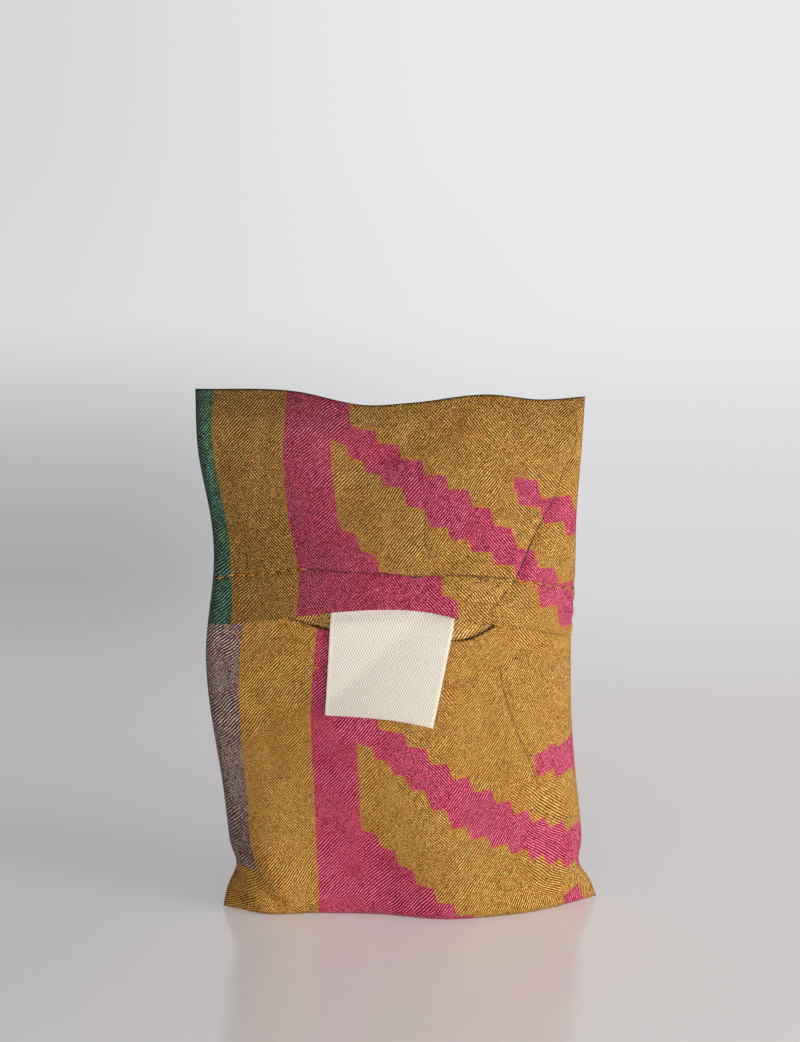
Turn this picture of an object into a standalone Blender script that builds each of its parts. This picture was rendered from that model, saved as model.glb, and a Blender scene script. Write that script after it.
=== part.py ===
"""A foldaway shopping bag packed in its own envelope pouch of light woven cloth.

One strip of cloth makes the pouch: it starts at the hem of the mouth, runs down the lower
front, round the base, up the back, over the top fold and down again as a flap whose hem laps
over the mouth. Both sides are sewn up. The shopping bag inside is folded to and fro, with its
two handle straps laid flat on the front and the back of the bundle, and a tape label is sewn
under the hem of the flap.

Metres, +Z up. The front faces -Y. The origin is on the floor under the middle of the pouch.
"""

import functools
import math

import bmesh
import bpy
import numpy as np
from mathutils import Matrix

# Pouch, laid flat
POUCH_WIDTH = 0.1275
POUCH_HEIGHT = 0.1760
MOUTH_HEIGHT = 0.1107  # side seam from the base to the mouth's hem, under the flap
OVERLAP = 0.0135  # how far the flap laps over the mouth at the side seams
OVERLAP_TILT = 0.0030  # more on the right, less on the left
FLAP_HEM = 0.0140
CLOTH = 0.0005
HEM = 0.0011  # three layers pressed together

# How the bundle inside fills it out
FRONT_BELLY = 0.0195
BACK_BELLY = 0.0185
FRONT_BASE = 0.0190
BACK_BASE = 0.0165
BASE_CORNER = 0.0045
CORNER_MOST = 0.6  # of the base's depth, where that is small
BELLY_RISE = 0.32  # share of the height over which the base's section turns into the belly's
TOP_TAPER = 2.6  # the higher, the nearer to the top fold the walls close
FRONT_ROUNDNESS = (1.9, 0.82)  # exponents of the belly's section
BACK_ROUNDNESS = (2.1, 0.8)
BACK_BASE_ROUNDNESS = 1.8
RIDGE_SHIFT = 0.24  # the belly's crest lies right of centre, as a share of the half width
EDGE_PUFF = 0.0012  # half the thickness of cloth just inside a seam
SEAM_EASE = 0.0020  # from a seam to where that thickness is full
TOP_EASE = 0.0040
MOUTH_SAG = 0.0132
FLAP_ARCH = 0.0103
ARCH_SHIFT = 0.10
EDGE_ROUNDNESS = 1.4
FLAP_LIFT_LENGTH = 0.030
SLOT_GAP = 0.0006  # between the flap's hem and the cloth below it
BACKWARD_LEAN = 0.0020
RIGHT_SEAM_FORWARD = 0.0050
SIDE_PUFF = 0.0022
SIDE_PUFF_PLACE = (0.90, 0.09)  # middle and spread, from the centre line to the seam
NECK_PINCH = 0.0022  # drawn in above each ear of the base
NECK_PLACE = (0.085, 0.03)  # middle and spread, as shares of a column's length
EAR_LIFT = 0.0003
EAR_START = 0.8
TOP_DENT = 0.0040
TOP_DENT_ACROSS = (-0.10, 0.26)
TOP_DENT_UP = (0.93, 0.13)

# Drift of the outline: how far, then its shape as (place, share of that), up a column or across
SEAM_PULL = 0.0042
SEAM_PULL_SHAPE = ((0, 0), (0.08, 0.81), (0.2, 1), (0.5, 0.74), (0.75, 0.86), (0.9, 0.19), (1, 0.05))
SWAY = 0.0038
SWAY_SHAPE = ((0, 0.95), (0.05, 0.79), (0.15, 0.42), (0.5, -1), (0.68, -0.37), (0.9, -0.79), (1, -0.71))
TOP_WAVE = 0.0038
TOP_WAVE_SHAPE = ((-1, 0.63), (-0.5, 0.32), (-0.12, -1), (0.1, -0.84), (0.5, -0.2), (0.78, -0.7), (1, -0.47))
BASE_FILL_SHAPE = (
    (-1, 0), (-0.86, 0.42), (-0.5, 0.55), (-0.2, 0.66), (0.22, 1),
    (0.45, 0.93), (0.7, 0.62), (0.86, 0.34), (1, 0),
)

# Label
LABEL_WIDTH = 0.0405
LABEL_FOOT_WIDTH = 0.0360
LABEL_LENGTH = 0.0365  # from the flap's hem to its foot
LABEL_TUCK = 0.0100  # sewn under the hem
LABEL_THICKNESS = 0.0007
LABEL_OFFSET = -0.0033
LABEL_FOOT_SHIFT = -0.0046
LABEL_STAND_OFF = 0.0022
LABEL_TWIST = 0.0008  # its right corner hangs lower than its left
LABEL_TURN = 0.0050  # length over which it comes out from under the hem
LABEL_FLAT = 0.1  # share of its length that stays on the cloth

# Folded bag and its handles
TOUCH_GAP = 0.0003
BUNDLE_FILL = 0.841  # share of the pouch's height up to which it is full
BUNDLE_TOP = BUNDLE_FILL * POUCH_HEIGHT
BUNDLE_CROWN = 0.0100
BUNDLE_SIDE_ROOM = 0.01825
BUNDLE_HALF_WIDTH = POUCH_WIDTH / 2 - BUNDLE_SIDE_ROOM
BUNDLE_CLEARANCE = 0.0007
BUNDLE_LAYERS = 5
BUNDLE_GAP = 0.0004  # between layers
STRAP_WIDTH = 0.0250
STRAP_THICKNESS = 0.0010
STRAP_LAYERS = 3
STRAP_GAP = 0.0003
STRAP_DROP = 0.0210  # from the top of the bundle to the top of a strap
STRAP_TOP = BUNDLE_TOP - STRAP_DROP
STRAP_BOTTOM = 0.0300
STRAP_SPREAD = 0.0150
STRAP_EASE = 0.0050  # clear space on both sides of a strap

# Mesh density
COLUMNS = 26
FLAP_HEM_ROWS = 2
BUNDLE_STATIONS = 16
RUN_STEPS = 7
FOLD_STEPS = 5
STRAP_STATIONS = 6
FOLD_RISE = 0.03  # height of a rounded fold, as a share of the strip's height
CORNER_STEPS = 6
PROFILE_STEPS = 60
WALL_STEPS = 24

GOLD = (0.44, 0.24, 0.045)
CREAM = (0.75, 0.68, 0.55)


def smooth(x):
    """0 below 0, 1 above 1, and an S between."""
    x = np.clip(x, 0.0, 1.0)
    return x * x * (3 - 2 * x)


def bump(x, centre, width):
    return np.exp(-(((x - centre) / width) ** 2))


def through(points, x):
    """A smooth line through the points: a cubic between neighbours."""
    px, py = np.array(points, float).T
    slope = np.gradient(py, px)
    x = np.clip(x, px[0], px[-1])
    i = np.clip(np.searchsorted(px, x) - 1, 0, len(px) - 2)
    h = px[i + 1] - px[i]
    s = (x - px[i]) / h
    start = (2 * s**3 - 3 * s**2 + 1) * py[i] + (s**3 - 2 * s**2 + s) * h * slope[i]
    end = (3 * s**2 - 2 * s**3) * py[i + 1] + (s**3 - s**2) * h * slope[i + 1]
    return start + end


def from_seam(across):
    """0 on a side seam, rising to 1 inside it."""
    return np.clip((1 - abs(across)) * POUCH_WIDTH / 2 / SEAM_EASE, 0, 1)


def skewed(across, shift):
    """Moves the middle sideways and leaves both seams where they are."""
    return across - shift * (1 - across**2)


def top_height(across):
    return POUCH_HEIGHT + TOP_WAVE * float(through(TOP_WAVE_SHAPE, across))


def belly_depth(across, front):
    sharp, blunt = FRONT_ROUNDNESS if front else BACK_ROUNDNESS
    if front:
        return FRONT_BELLY * (1 - abs(skewed(across, RIDGE_SHIFT)) ** sharp) ** blunt
    return BACK_BELLY * (1 - abs(across) ** sharp) ** blunt


def base_depth(across, front):
    if front:
        return FRONT_BASE * float(through(BASE_FILL_SHAPE, across))
    return BACK_BASE * (1 - abs(across) ** BACK_BASE_ROUNDNESS)


@functools.lru_cache(maxsize=None)
def column_profile(across, front):
    """One column of cloth, from the middle of the base to the top fold: length shares, depths, heights."""
    seam = from_seam(across)
    base = base_depth(across, front) + EDGE_PUFF * seam
    belly = belly_depth(across, front) + EDGE_PUFF * seam
    if seam == 0:
        base = belly = 0.0
    corner = min(BASE_CORNER, CORNER_MOST * base)
    top = top_height(across)
    ear = EAR_LIFT * float(smooth((abs(across) - EAR_START) / (1 - EAR_START)))
    rise = np.linspace(0, 1, PROFILE_STEPS + 1)[1:]
    turn = np.linspace(0, math.pi / 2, CORNER_STEPS + 1)[1:]
    to_top = np.clip((1 - rise) * (top - corner) / TOP_EASE, 0, 1)
    wall = (base + (belly - base) * smooth(rise / BELLY_RISE)) * (1 - rise**TOP_TAPER)
    wall = np.maximum(wall, EDGE_PUFF * seam * to_top)
    dent = TOP_DENT * bump(across, *TOP_DENT_ACROSS) * bump(rise, *TOP_DENT_UP) if front else 0
    wall = np.maximum(wall - dent, np.minimum(wall, EDGE_PUFF * seam * to_top))
    depth = np.concatenate([[0, base - corner], base - corner * (1 - np.sin(turn)), wall])
    height = np.concatenate([[0, 0], corner * (1 - np.cos(turn)), corner + (top - corner) * rise])
    height = height + ear * (1 - height / top)
    length = np.concatenate([[0], np.cumsum(np.hypot(np.diff(depth), np.diff(height)))])
    return length / length[-1], depth, height


def low_part(share):
    """1 on the lower half of a column, 0 at the base and from a little above the middle."""
    return float(smooth(share / 0.08) * smooth((0.60 - share) / 0.15))


def place(across, share, front):
    """A point of the outer surface, at a share of the way up one column of cloth."""
    shares, depths, heights = column_profile(across, front)
    depth = float(np.interp(share, shares, depths))
    height = float(np.interp(share, shares, heights))
    pull = SEAM_PULL * float(through(SEAM_PULL_SHAPE, share)) * across
    pinch = NECK_PINCH * float(bump(share, *NECK_PLACE)) * abs(across) ** 8 * np.sign(across)
    x = POUCH_WIDTH / 2 * across - pull - pinch + SWAY * float(through(SWAY_SHAPE, share))
    low = low_part(share)
    y = BACKWARD_LEAN * share - RIGHT_SEAM_FORWARD * low * float(smooth((across - 0.4) / 0.6))
    if not front:
        x += SIDE_PUFF * low * float(bump(across, *SIDE_PUFF_PLACE)) * float(from_seam(across))
    return np.array([x, y - depth if front else y + depth, height])


def share_at(across, height, front=True):
    """The share of a column's length at which its wall reaches a height."""
    shares, _, heights = column_profile(across, front)
    return float(np.interp(height, heights[1:], shares[1:]))


def find(x, height, front=True):
    """The column and the share of its length that pass through a place on the front or the back."""
    across = 2 * x / POUCH_WIDTH
    for _ in range(4):
        share = share_at(across, height, front)
        across += 2 * (x - place(across, share, front)[0]) / POUCH_WIDTH
    return across, share


@functools.lru_cache(maxsize=None)
def wall_line(x, front):
    """Heights and depths of the pouch's outer surface on a cut across it."""
    heights = np.linspace(BASE_CORNER, BUNDLE_TOP, WALL_STEPS)
    return heights, [place(*find(x, height, front), front)[1] for height in heights]


def wall_y(x, height, front):
    """How far forwards or backwards the pouch's outer surface lies."""
    return float(np.interp(height, *wall_line(x, front)))


def settled(across, share, front):
    """Moves the lowest rows onto the edge of the flat base and its rounding, less so towards the seams."""
    shares = column_profile(across, front)[0]
    flat, curve = shares[1], shares[1 + CORNER_STEPS]
    fitted = np.interp(share, (0, 0.043, 0.108, 0.151, 0.3, 1), (0, flat, curve, curve + 0.04, 0.3, 1))
    weight = smooth((1 - abs(across)) / 0.25)
    return float(share + (fitted - share) * weight)


def mouth_height(across):
    return MOUTH_HEIGHT - MOUTH_SAG * (1 - across**2) ** EDGE_ROUNDNESS


def overlap(across):
    return OVERLAP + OVERLAP_TILT * across


def flap_height(across):
    """The height of the edge of the flap's hem, which the label and the bundle push up in the middle."""
    arch = FLAP_ARCH * (1 - skewed(across, ARCH_SHIFT) ** 2) ** EDGE_ROUNDNESS
    return MOUTH_HEIGHT - overlap(across) + arch


def outward(across, share, front=True):
    """The outer surface's unit normal."""
    step = 0.004
    left = place(max(across - step, -0.999), share, front)
    right = place(min(across + step, 0.999), share, front)
    down = place(across, max(share - step, 0), front)
    up = place(across, min(share + step, 1), front)
    normal = np.cross(right - left, up - down)
    normal /= np.linalg.norm(normal)
    return normal if front else -normal


def lifted(across, share, lift, front=True):
    return place(across, share, front) + outward(across, share, front) * lift


def columns():
    """Column positions from seam to seam, closer together near the seams."""
    t = np.linspace(-1, 1, COLUMNS + 1)
    return 0.62 * t + 0.38 * np.sin(t * math.pi / 2)


def lower_rows():
    """Rows of the lower front: 0 at the base, 1 where it goes under the flap, 2 at the mouth."""
    low = np.linspace(0, 0.24, 8)
    return np.concatenate([low, np.linspace(low[-1], 1, 9)[1:], [1.5, 2]])


def flap_rows():
    """Rows of the flap as shares from the edge of its hem to the top fold."""
    stitch = FLAP_HEM / (POUCH_HEIGHT - MOUTH_HEIGHT + OVERLAP)
    hem = np.linspace(0, stitch, FLAP_HEM_ROWS + 1)
    return np.concatenate([hem, np.linspace(stitch, 0.88, 8)[1:], [0.95, 1]])


def lower_share(across, row):
    """The share of a front column's length at a row of the lower front. The mouth's hem starts at row 1."""
    hem = 1 - overlap(across) / MOUTH_HEIGHT
    share = hem * row if row <= 1 else hem + (1 - hem) * (row - 1)
    return settled(across, share * share_at(across, mouth_height(across)), True)


def flap_share(across, row):
    hem = share_at(across, flap_height(across))
    return hem + (1 - hem) * row


def flap_lift(across, row):
    """How far the flap stands off the surface of the lower front."""
    above = row * (POUCH_HEIGHT - MOUTH_HEIGHT + OVERLAP) - OVERLAP
    ease = 1 - smooth(above / FLAP_LIFT_LENGTH)
    return (HEM + SLOT_GAP) * float(ease) * float(from_seam(across))


def flap_point(across, row):
    share = flap_share(across, row)
    if abs(across) == 1 or row == 1:
        return place(across, share, True)
    return lifted(across, share, flap_lift(across, row))


def seam_shares(side):
    """The shares at which the back meets the rows of the lower front and of the flap on one seam."""
    low = [lower_share(side, row) for row in lower_rows() if row <= 1]
    return np.array(low + [flap_share(side, row) for row in flap_rows()[1:]])


def pouch_sheet():
    """The outer surface of the pouch as one open sheet, and the vertices in its hems."""
    bm = bmesh.new()
    acrosses = columns()
    last = COLUMNS
    low_rows = lower_rows()
    high_rows = flap_rows()
    crossing = list(low_rows).index(1)
    lower = {}
    flap = {}
    back = {}
    for j, row in enumerate(low_rows):
        inside = range(last + 1) if j <= crossing else range(1, last)
        for i in inside:
            lower[i, j] = bm.verts.new(place(acrosses[i], lower_share(acrosses[i], row), True))
    for j, row in enumerate(high_rows):
        for i in range(last + 1):
            shared = j == 0 and i in (0, last)
            flap[i, j] = lower[i, crossing] if shared else bm.verts.new(flap_point(acrosses[i], row))
    left, right = seam_shares(-1), seam_shares(1)
    top_row = len(left) - 1
    for j in range(top_row + 1):
        for i, across in enumerate(acrosses):
            if i in (0, last) or j == 0:
                back[i, j] = lower[i, j] if j <= crossing else flap[i, j - crossing]
            elif j == top_row:
                back[i, j] = flap[i, j - crossing]
            else:
                share = left[j] + (right[j] - left[j]) * (across + 1) / 2
                back[i, j] = bm.verts.new(place(across, settled(across, share, False), False))
    join_grid(bm, lower, True)
    join_grid(bm, flap, True)
    join_grid(bm, back, False)
    split_corners(bm)
    bm.verts.index_update()
    hem = [v.index for (i, j), v in lower.items() if j >= crossing and 0 < i < last]
    hem += [v.index for (i, j), v in flap.items() if j <= FLAP_HEM_ROWS and 0 < i < last]
    return bm, hem


def join_grid(bm, grid, front):
    """Faces between neighbouring vertices of a grid, facing forwards or backwards."""
    for i, j in grid:
        corners = [(i, j), (i + 1, j), (i + 1, j + 1), (i, j + 1)]
        if all(c in grid for c in corners):
            face = [grid[c] for c in corners]
            bm.faces.new(face if front else face[::-1])


def split_corners(bm):
    """Cuts the two faces that meet in each welded corner through it, so that they share no diagonal."""
    for corner in [v for v in bm.verts if len(v.link_edges) == 2 and len(v.link_faces) == 2]:
        for face in list(corner.link_faces):
            loop = next(loop for loop in face.loops if loop.vert == corner)
            bmesh.utils.face_split(face, corner, loop.link_loop_next.link_loop_next.vert)


def new_object(name, bm, material):
    mesh = bpy.data.meshes.new(name)
    bm.to_mesh(mesh)
    bm.free()
    obj = bpy.data.objects.new(name, mesh)
    bpy.context.scene.collection.objects.link(obj)
    mesh.materials.append(material)
    mesh.shade_smooth()
    mesh.set_sharp_from_angle(angle=math.radians(50))
    return obj


def cloth_material(name, colour, roughness):
    material = bpy.data.materials.new(name)
    material.use_nodes = True
    shader = material.node_tree.nodes["Principled BSDF"]
    shader.inputs["Base Color"].default_value = (*colour, 1)
    shader.inputs["Roughness"].default_value = roughness
    shader.inputs["Metallic"].default_value = 0
    return material


def make_pouch(material):
    bm, hem = pouch_sheet()
    pouch = new_object("pouch", bm, material)
    group = pouch.vertex_groups.new(name="hems")
    group.add(hem, 1.0, "REPLACE")
    wall = pouch.modifiers.new("cloth", "SOLIDIFY")
    wall.thickness = HEM
    wall.offset = -1
    wall.use_even_offset = True
    wall.use_quality_normals = True
    wall.vertex_group = group.name
    wall.thickness_vertex_group = CLOTH / HEM
    return pouch


def label_point(below, sideways):
    """A point of the label's back: below the edge of the flap's hem in metres, sideways -1 to 1."""
    drop = max(below, 0) / LABEL_LENGTH
    half = (LABEL_WIDTH + (LABEL_FOOT_WIDTH - LABEL_WIDTH) * drop) / 2
    x = LABEL_OFFSET + LABEL_FOOT_SHIFT * drop + half * sideways
    hem = flap_height(find(x, MOUTH_HEIGHT)[0])
    across, share = find(x, hem - below - LABEL_TWIST * drop * sideways)
    under = SLOT_GAP - TOUCH_GAP - LABEL_THICKNESS
    out = float(smooth((below - TOUCH_GAP) / LABEL_TURN))
    hanging = float(smooth((drop - LABEL_FLAT) / (1 - LABEL_FLAT)))
    return lifted(across, share, under + (2 * TOUCH_GAP - under) * out + LABEL_STAND_OFF * hanging)


def make_label(material):
    """A short length of woven tape, its upper end tucked under the hem of the flap."""
    bm = bmesh.new()
    turned = TOUCH_GAP + LABEL_TURN
    tucked = np.linspace(-LABEL_TUCK, TOUCH_GAP, 4)
    out = np.linspace(TOUCH_GAP, turned, 5)[1:]
    hanging = np.linspace(turned, LABEL_LENGTH, 7)[1:]
    rows = np.concatenate([tucked, out, hanging])[::-1]
    grid = {}
    for i, side in enumerate(np.linspace(-1, 1, 13)):
        for j, row in enumerate(rows):
            grid[i, j] = bm.verts.new(label_point(row, side))
    join_grid(bm, grid, True)
    label = new_object("label", bm, material)
    tape = label.modifiers.new("tape", "SOLIDIFY")
    tape.thickness = LABEL_THICKNESS
    tape.offset = 1
    tape.use_even_offset = True
    return label


def folded_outline(layers):
    """The section of a strip folded to and fro: for each point its place in depth and its share of the height.

    A place in depth is a share of the depth and a number of gaps. The strip is folded at the top first, so
    every other gap between layers is open at the bottom.
    """
    runs = np.linspace(FOLD_RISE, 1 - FOLD_RISE, RUN_STEPS + 1)
    turn = np.linspace(0, math.pi, FOLD_STEPS + 1)[1:-1]
    points = []
    for top in (True, False):
        open_gaps = [k / layers for k in range(1, layers) if (k % 2 == 0) == top]
        sides = [(cut, side) for cut in open_gaps for side in (-0.5, 0.5)]
        edges = [np.array(edge) for edge in [(0, 0)] + sides + [(1, 0)]]
        if not top:
            edges = edges[::-1]
        level = runs if top else runs[::-1]
        crown = (1 - FOLD_RISE, FOLD_RISE) if top else (FOLD_RISE, -FOLD_RISE)
        for start, end in zip(edges[0::2], edges[1::2]):
            middle, half = (start + end) / 2, (end - start) / 2
            points += [(start, v) for v in (level if start is edges[0] else level[1:])]
            points += [(middle - half * math.cos(t), crown[0] + crown[1] * math.sin(t)) for t in turn]
            if end is not edges[-1]:
                points += [(end, v) for v in level[::-1][:-1]]
    return points


def make_folded(name, material, layers, gap, xs, floor, top, wall):
    """A folded strip as one closed body, lofted through its section at each x."""
    bm = bmesh.new()
    rings = []
    for x in xs:
        high = top(x)
        ring = []
        for (share, gaps), v in folded_outline(layers):
            z = floor + (high - floor) * v
            near, far = wall(x, z, True), wall(x, z, False)
            ring.append(bm.verts.new((x, near + (far - near) * share + gap * gaps, z)))
        rings.append(ring)
    count = len(rings[0])
    for left, right in zip(rings, rings[1:]):
        for k in range(count):
            n = (k + 1) % count
            bm.faces.new((left[k], right[k], right[n], left[n]))
    bm.faces.new(rings[0])
    bm.faces.new(rings[-1][::-1])
    return new_object(name, bm, material)


def make_bag(material):
    """The folded bag with one handle strap on its front and one on its back."""
    strap = STRAP_LAYERS * STRAP_THICKNESS + 2 * TOUCH_GAP
    floor = CLOTH + TOUCH_GAP

    def room(x, z, front, beyond=0):
        """The wall that the bundle keeps clear of, at the front or the back, with some room beyond that."""
        drop = max(BASE_CORNER - z, 0)
        corner = BASE_CORNER - math.sqrt(BASE_CORNER**2 - drop**2)
        inset = HEM + BUNDLE_CLEARANCE + corner + beyond
        return wall_y(x, z, front) + (inset if front else -inset)

    def body_wall(x, z, front):
        middle = -STRAP_SPREAD if front else STRAP_SPREAD
        beside = (abs(x - middle) - STRAP_WIDTH / 2 - STRAP_EASE) / (2 * STRAP_EASE)
        return room(x, z, front, strap * (1 - float(smooth(beside))))

    def body_top(x):
        return BUNDLE_TOP - BUNDLE_CROWN * (x / BUNDLE_HALF_WIDTH) ** 2

    stations = np.linspace(-BUNDLE_HALF_WIDTH, BUNDLE_HALF_WIDTH, BUNDLE_STATIONS)
    make_folded("bag_body", material, BUNDLE_LAYERS, BUNDLE_GAP, stations, floor, body_top, body_wall)

    for name, side in (("handle_front", -1), ("handle_back", 1)):
        middle = side * STRAP_SPREAD
        across = np.linspace(middle - STRAP_WIDTH / 2, middle + STRAP_WIDTH / 2, STRAP_STATIONS)

        def strap_wall(x, z, front):
            on_wall = front == (side < 0)
            return room(x, z, side < 0, 0 if on_wall else strap - TOUCH_GAP)

        make_folded(
            name, material, STRAP_LAYERS, STRAP_GAP, across, STRAP_BOTTOM, lambda x: STRAP_TOP, strap_wall
        )


def centre_over_origin():
    """Moves everything so that the origin lies under the middle of the whole part."""
    depsgraph = bpy.context.evaluated_depsgraph_get()
    corners = []
    for obj in bpy.data.objects:
        shape = obj.evaluated_get(depsgraph).to_mesh()
        corners += [vertex.co.copy() for vertex in shape.vertices]
    corners = np.array(corners)
    middle = (corners.min(axis=0) + corners.max(axis=0)) / 2
    for obj in bpy.data.objects:
        obj.data.transform(Matrix.Translation((-middle[0], -middle[1], -corners[:, 2].min())))


def main():
    for obj in list(bpy.data.objects):
        bpy.data.objects.remove(obj)
    sari = cloth_material("sari_cloth", GOLD, 0.6)
    tape = cloth_material("label_tape", CREAM, 0.85)
    make_pouch(sari)
    make_label(tape)
    make_bag(sari)
    centre_over_origin()


main()
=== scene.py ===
"""The looks of a foldaway shopping bag in its pouch: cloth, hems, stitches, label and the folded bag.

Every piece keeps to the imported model's frame, in metres. The pouch is one strip of woven cloth, so its
pattern and its weave are drawn in the strip's own coordinates, in millimetres.
"""

import math

import bmesh
import bpy
import numpy as np
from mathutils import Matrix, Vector, noise


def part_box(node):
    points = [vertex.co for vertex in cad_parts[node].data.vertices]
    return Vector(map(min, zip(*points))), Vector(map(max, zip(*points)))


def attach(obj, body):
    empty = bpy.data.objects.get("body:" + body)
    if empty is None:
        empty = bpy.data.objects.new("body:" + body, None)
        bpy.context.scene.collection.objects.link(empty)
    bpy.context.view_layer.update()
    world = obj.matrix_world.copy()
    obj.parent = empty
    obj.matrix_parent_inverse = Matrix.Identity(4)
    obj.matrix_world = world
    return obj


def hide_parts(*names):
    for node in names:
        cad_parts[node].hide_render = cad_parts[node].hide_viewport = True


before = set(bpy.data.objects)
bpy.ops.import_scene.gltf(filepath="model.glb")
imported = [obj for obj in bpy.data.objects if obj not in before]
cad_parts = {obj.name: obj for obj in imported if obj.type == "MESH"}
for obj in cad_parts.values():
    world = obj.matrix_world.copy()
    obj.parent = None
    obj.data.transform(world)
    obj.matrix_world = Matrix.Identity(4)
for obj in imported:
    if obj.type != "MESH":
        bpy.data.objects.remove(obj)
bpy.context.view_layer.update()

# The pouch's form, as the solids have it
POUCH_WIDTH = 0.1275
POUCH_HEIGHT = 0.1760
MOUTH_HEIGHT = 0.1107
OVERLAP = 0.0135
OVERLAP_TILT = 0.0030
CLOTH = 0.0005
HEM = 0.0011
SLOT_GAP = 0.0006
FRONT_BELLY = 0.0195
BACK_BELLY = 0.0185
FRONT_BASE = 0.0190
BACK_BASE = 0.0165
BASE_CORNER = 0.0045
EDGE_PUFF = 0.0012
CORNER_MOST = 0.6
BELLY_RISE = 0.32
TOP_TAPER = 2.6
FRONT_ROUNDNESS = (1.9, 0.82)
BACK_ROUNDNESS = (2.1, 0.8)
BACK_BASE_ROUNDNESS = 1.8
RIDGE_SHIFT = 0.24
MOUTH_SAG = 0.0132
MOUTH_GAPE = 0.0034
MOUTH_GAPE_PLACE = (0.40, 0.17)
FLAP_SLACK = 0.0018
FLAP_SLACK_PLACE = (0.42, 0.22)
FLAP_ARCH = 0.0103
ARCH_SHIFT = 0.10
EDGE_ROUNDNESS = 1.4
FLAP_LIFT_LENGTH = 0.030
BACKWARD_LEAN = 0.0020
RIGHT_SEAM_FORWARD = 0.0050
SIDE_PUFF = 0.0022
SIDE_PUFF_PLACE = (0.90, 0.09)
NECK_PINCH = 0.0022
NECK_PLACE = (0.085, 0.03)
EAR_LIFT = 0.0003
EAR_FROM = 0.8
TOP_DENT = 0.0040
TOP_DENT_ACROSS = (-0.10, 0.26)
TOP_DENT_UP = (0.93, 0.13)
SEAM_EASE = 0.0020
TOP_EASE = 0.0040
SEAM_PULL = 0.0042
SEAM_PULL_SHAPE = ((0, 0), (0.08, 0.81), (0.2, 1), (0.5, 0.74), (0.75, 0.86), (0.9, 0.19), (1, 0.05))
SWAY = 0.0038
SWAY_SHAPE = ((0, 0.95), (0.05, 0.79), (0.15, 0.42), (0.5, -1), (0.68, -0.37), (0.9, -0.79), (1, -0.71))
TOP_WAVE = 0.0038
TOP_WAVE_SHAPE = ((-1, 0.63), (-0.5, 0.32), (-0.12, -1), (0.1, -0.84), (0.5, -0.2), (0.78, -0.7), (1, -0.47))
BASE_FILL_SHAPE = (
    (-1, 0), (-0.86, 0.42), (-0.5, 0.55), (-0.2, 0.66), (0.22, 1),
    (0.45, 0.93), (0.7, 0.62), (0.86, 0.34), (1, 0),
)

# Label
LABEL_WIDTH = 0.0404
LABEL_FOOT_WIDTH = 0.0344
LABEL_LENGTH = 0.0355
LABEL_TUCK = 0.0100
LABEL_THICKNESS = 0.0007
TAPE_THICKNESS = 0.0006
LABEL_OFFSET = -0.0031
LABEL_FOOT_SHIFT = -0.0048
LABEL_STAND_OFF = 0.0011
LABEL_TWIST = 0.0019
LABEL_TURN = 0.0016
LABEL_WAVE = 0.0003
LABEL_ASIDE = 0.04
LABEL_LEAVES = 0.0003
LABEL_LEAVING = 0.005
TOUCH_GAP = 0.0001

# Cloth of the folded bag that shows in the mouth
NECK_ACROSS = (-0.80, 0.62)
NECK_COLUMNS = 49
NECK_ROWS = 17
NECK_BELOW = 0.010
NECK_ABOVE = 0.012
NECK_INSIDE = 0.0019
NECK_FOLD = 0.0003
NECK_THICKNESS = 0.0004

# Length of one column of cloth from the base to the top fold, in millimetres
PANEL = 190.0

# Mesh density
COLUMNS = 132
LOWER_ROWS = 92
TONGUE_ROWS = 16
FLAP_ROWS = 74

# Camera, as the photograph was taken
LENS = 85
SENSOR = 36
LONG_SIDE = 1042
CAMERA_AZIMUTH = -4.0
CAMERA_ELEVATION = 17.0
CAMERA_DISTANCE = 0.82
LOOKED_AT = Vector((0, 0, 0.085))
LOOKED_AT_RIGHT = 2
LOOKED_AT_DOWN = 143


def smooth(x):
    x = np.clip(x, 0.0, 1.0)
    return x * x * (3 - 2 * x)


def bump(x, centre, width):
    return np.exp(-(((x - centre) / width) ** 2))


def through(points, x):
    """A smooth line through the points: a cubic between neighbours."""
    px, py = np.array(points, float).T
    slope = np.gradient(py, px)
    x = np.clip(x, px[0], px[-1])
    i = np.clip(np.searchsorted(px, x) - 1, 0, len(px) - 2)
    h = px[i + 1] - px[i]
    s = (x - px[i]) / h
    start = (2 * s**3 - 3 * s**2 + 1) * py[i] + (s**3 - 2 * s**2 + s) * h * slope[i]
    end = (3 * s**2 - 2 * s**3) * py[i + 1] + (s**3 - s**2) * h * slope[i + 1]
    return start + end


# Form of the pouch


def skewed(across, shift):
    return across - shift * (1 - across**2)


def from_seam(across):
    """0 at a side seam, and 1 from SEAM_EASE inwards."""
    return np.clip((1 - abs(across)) * POUCH_WIDTH / (2 * SEAM_EASE), 0, 1)


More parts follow.
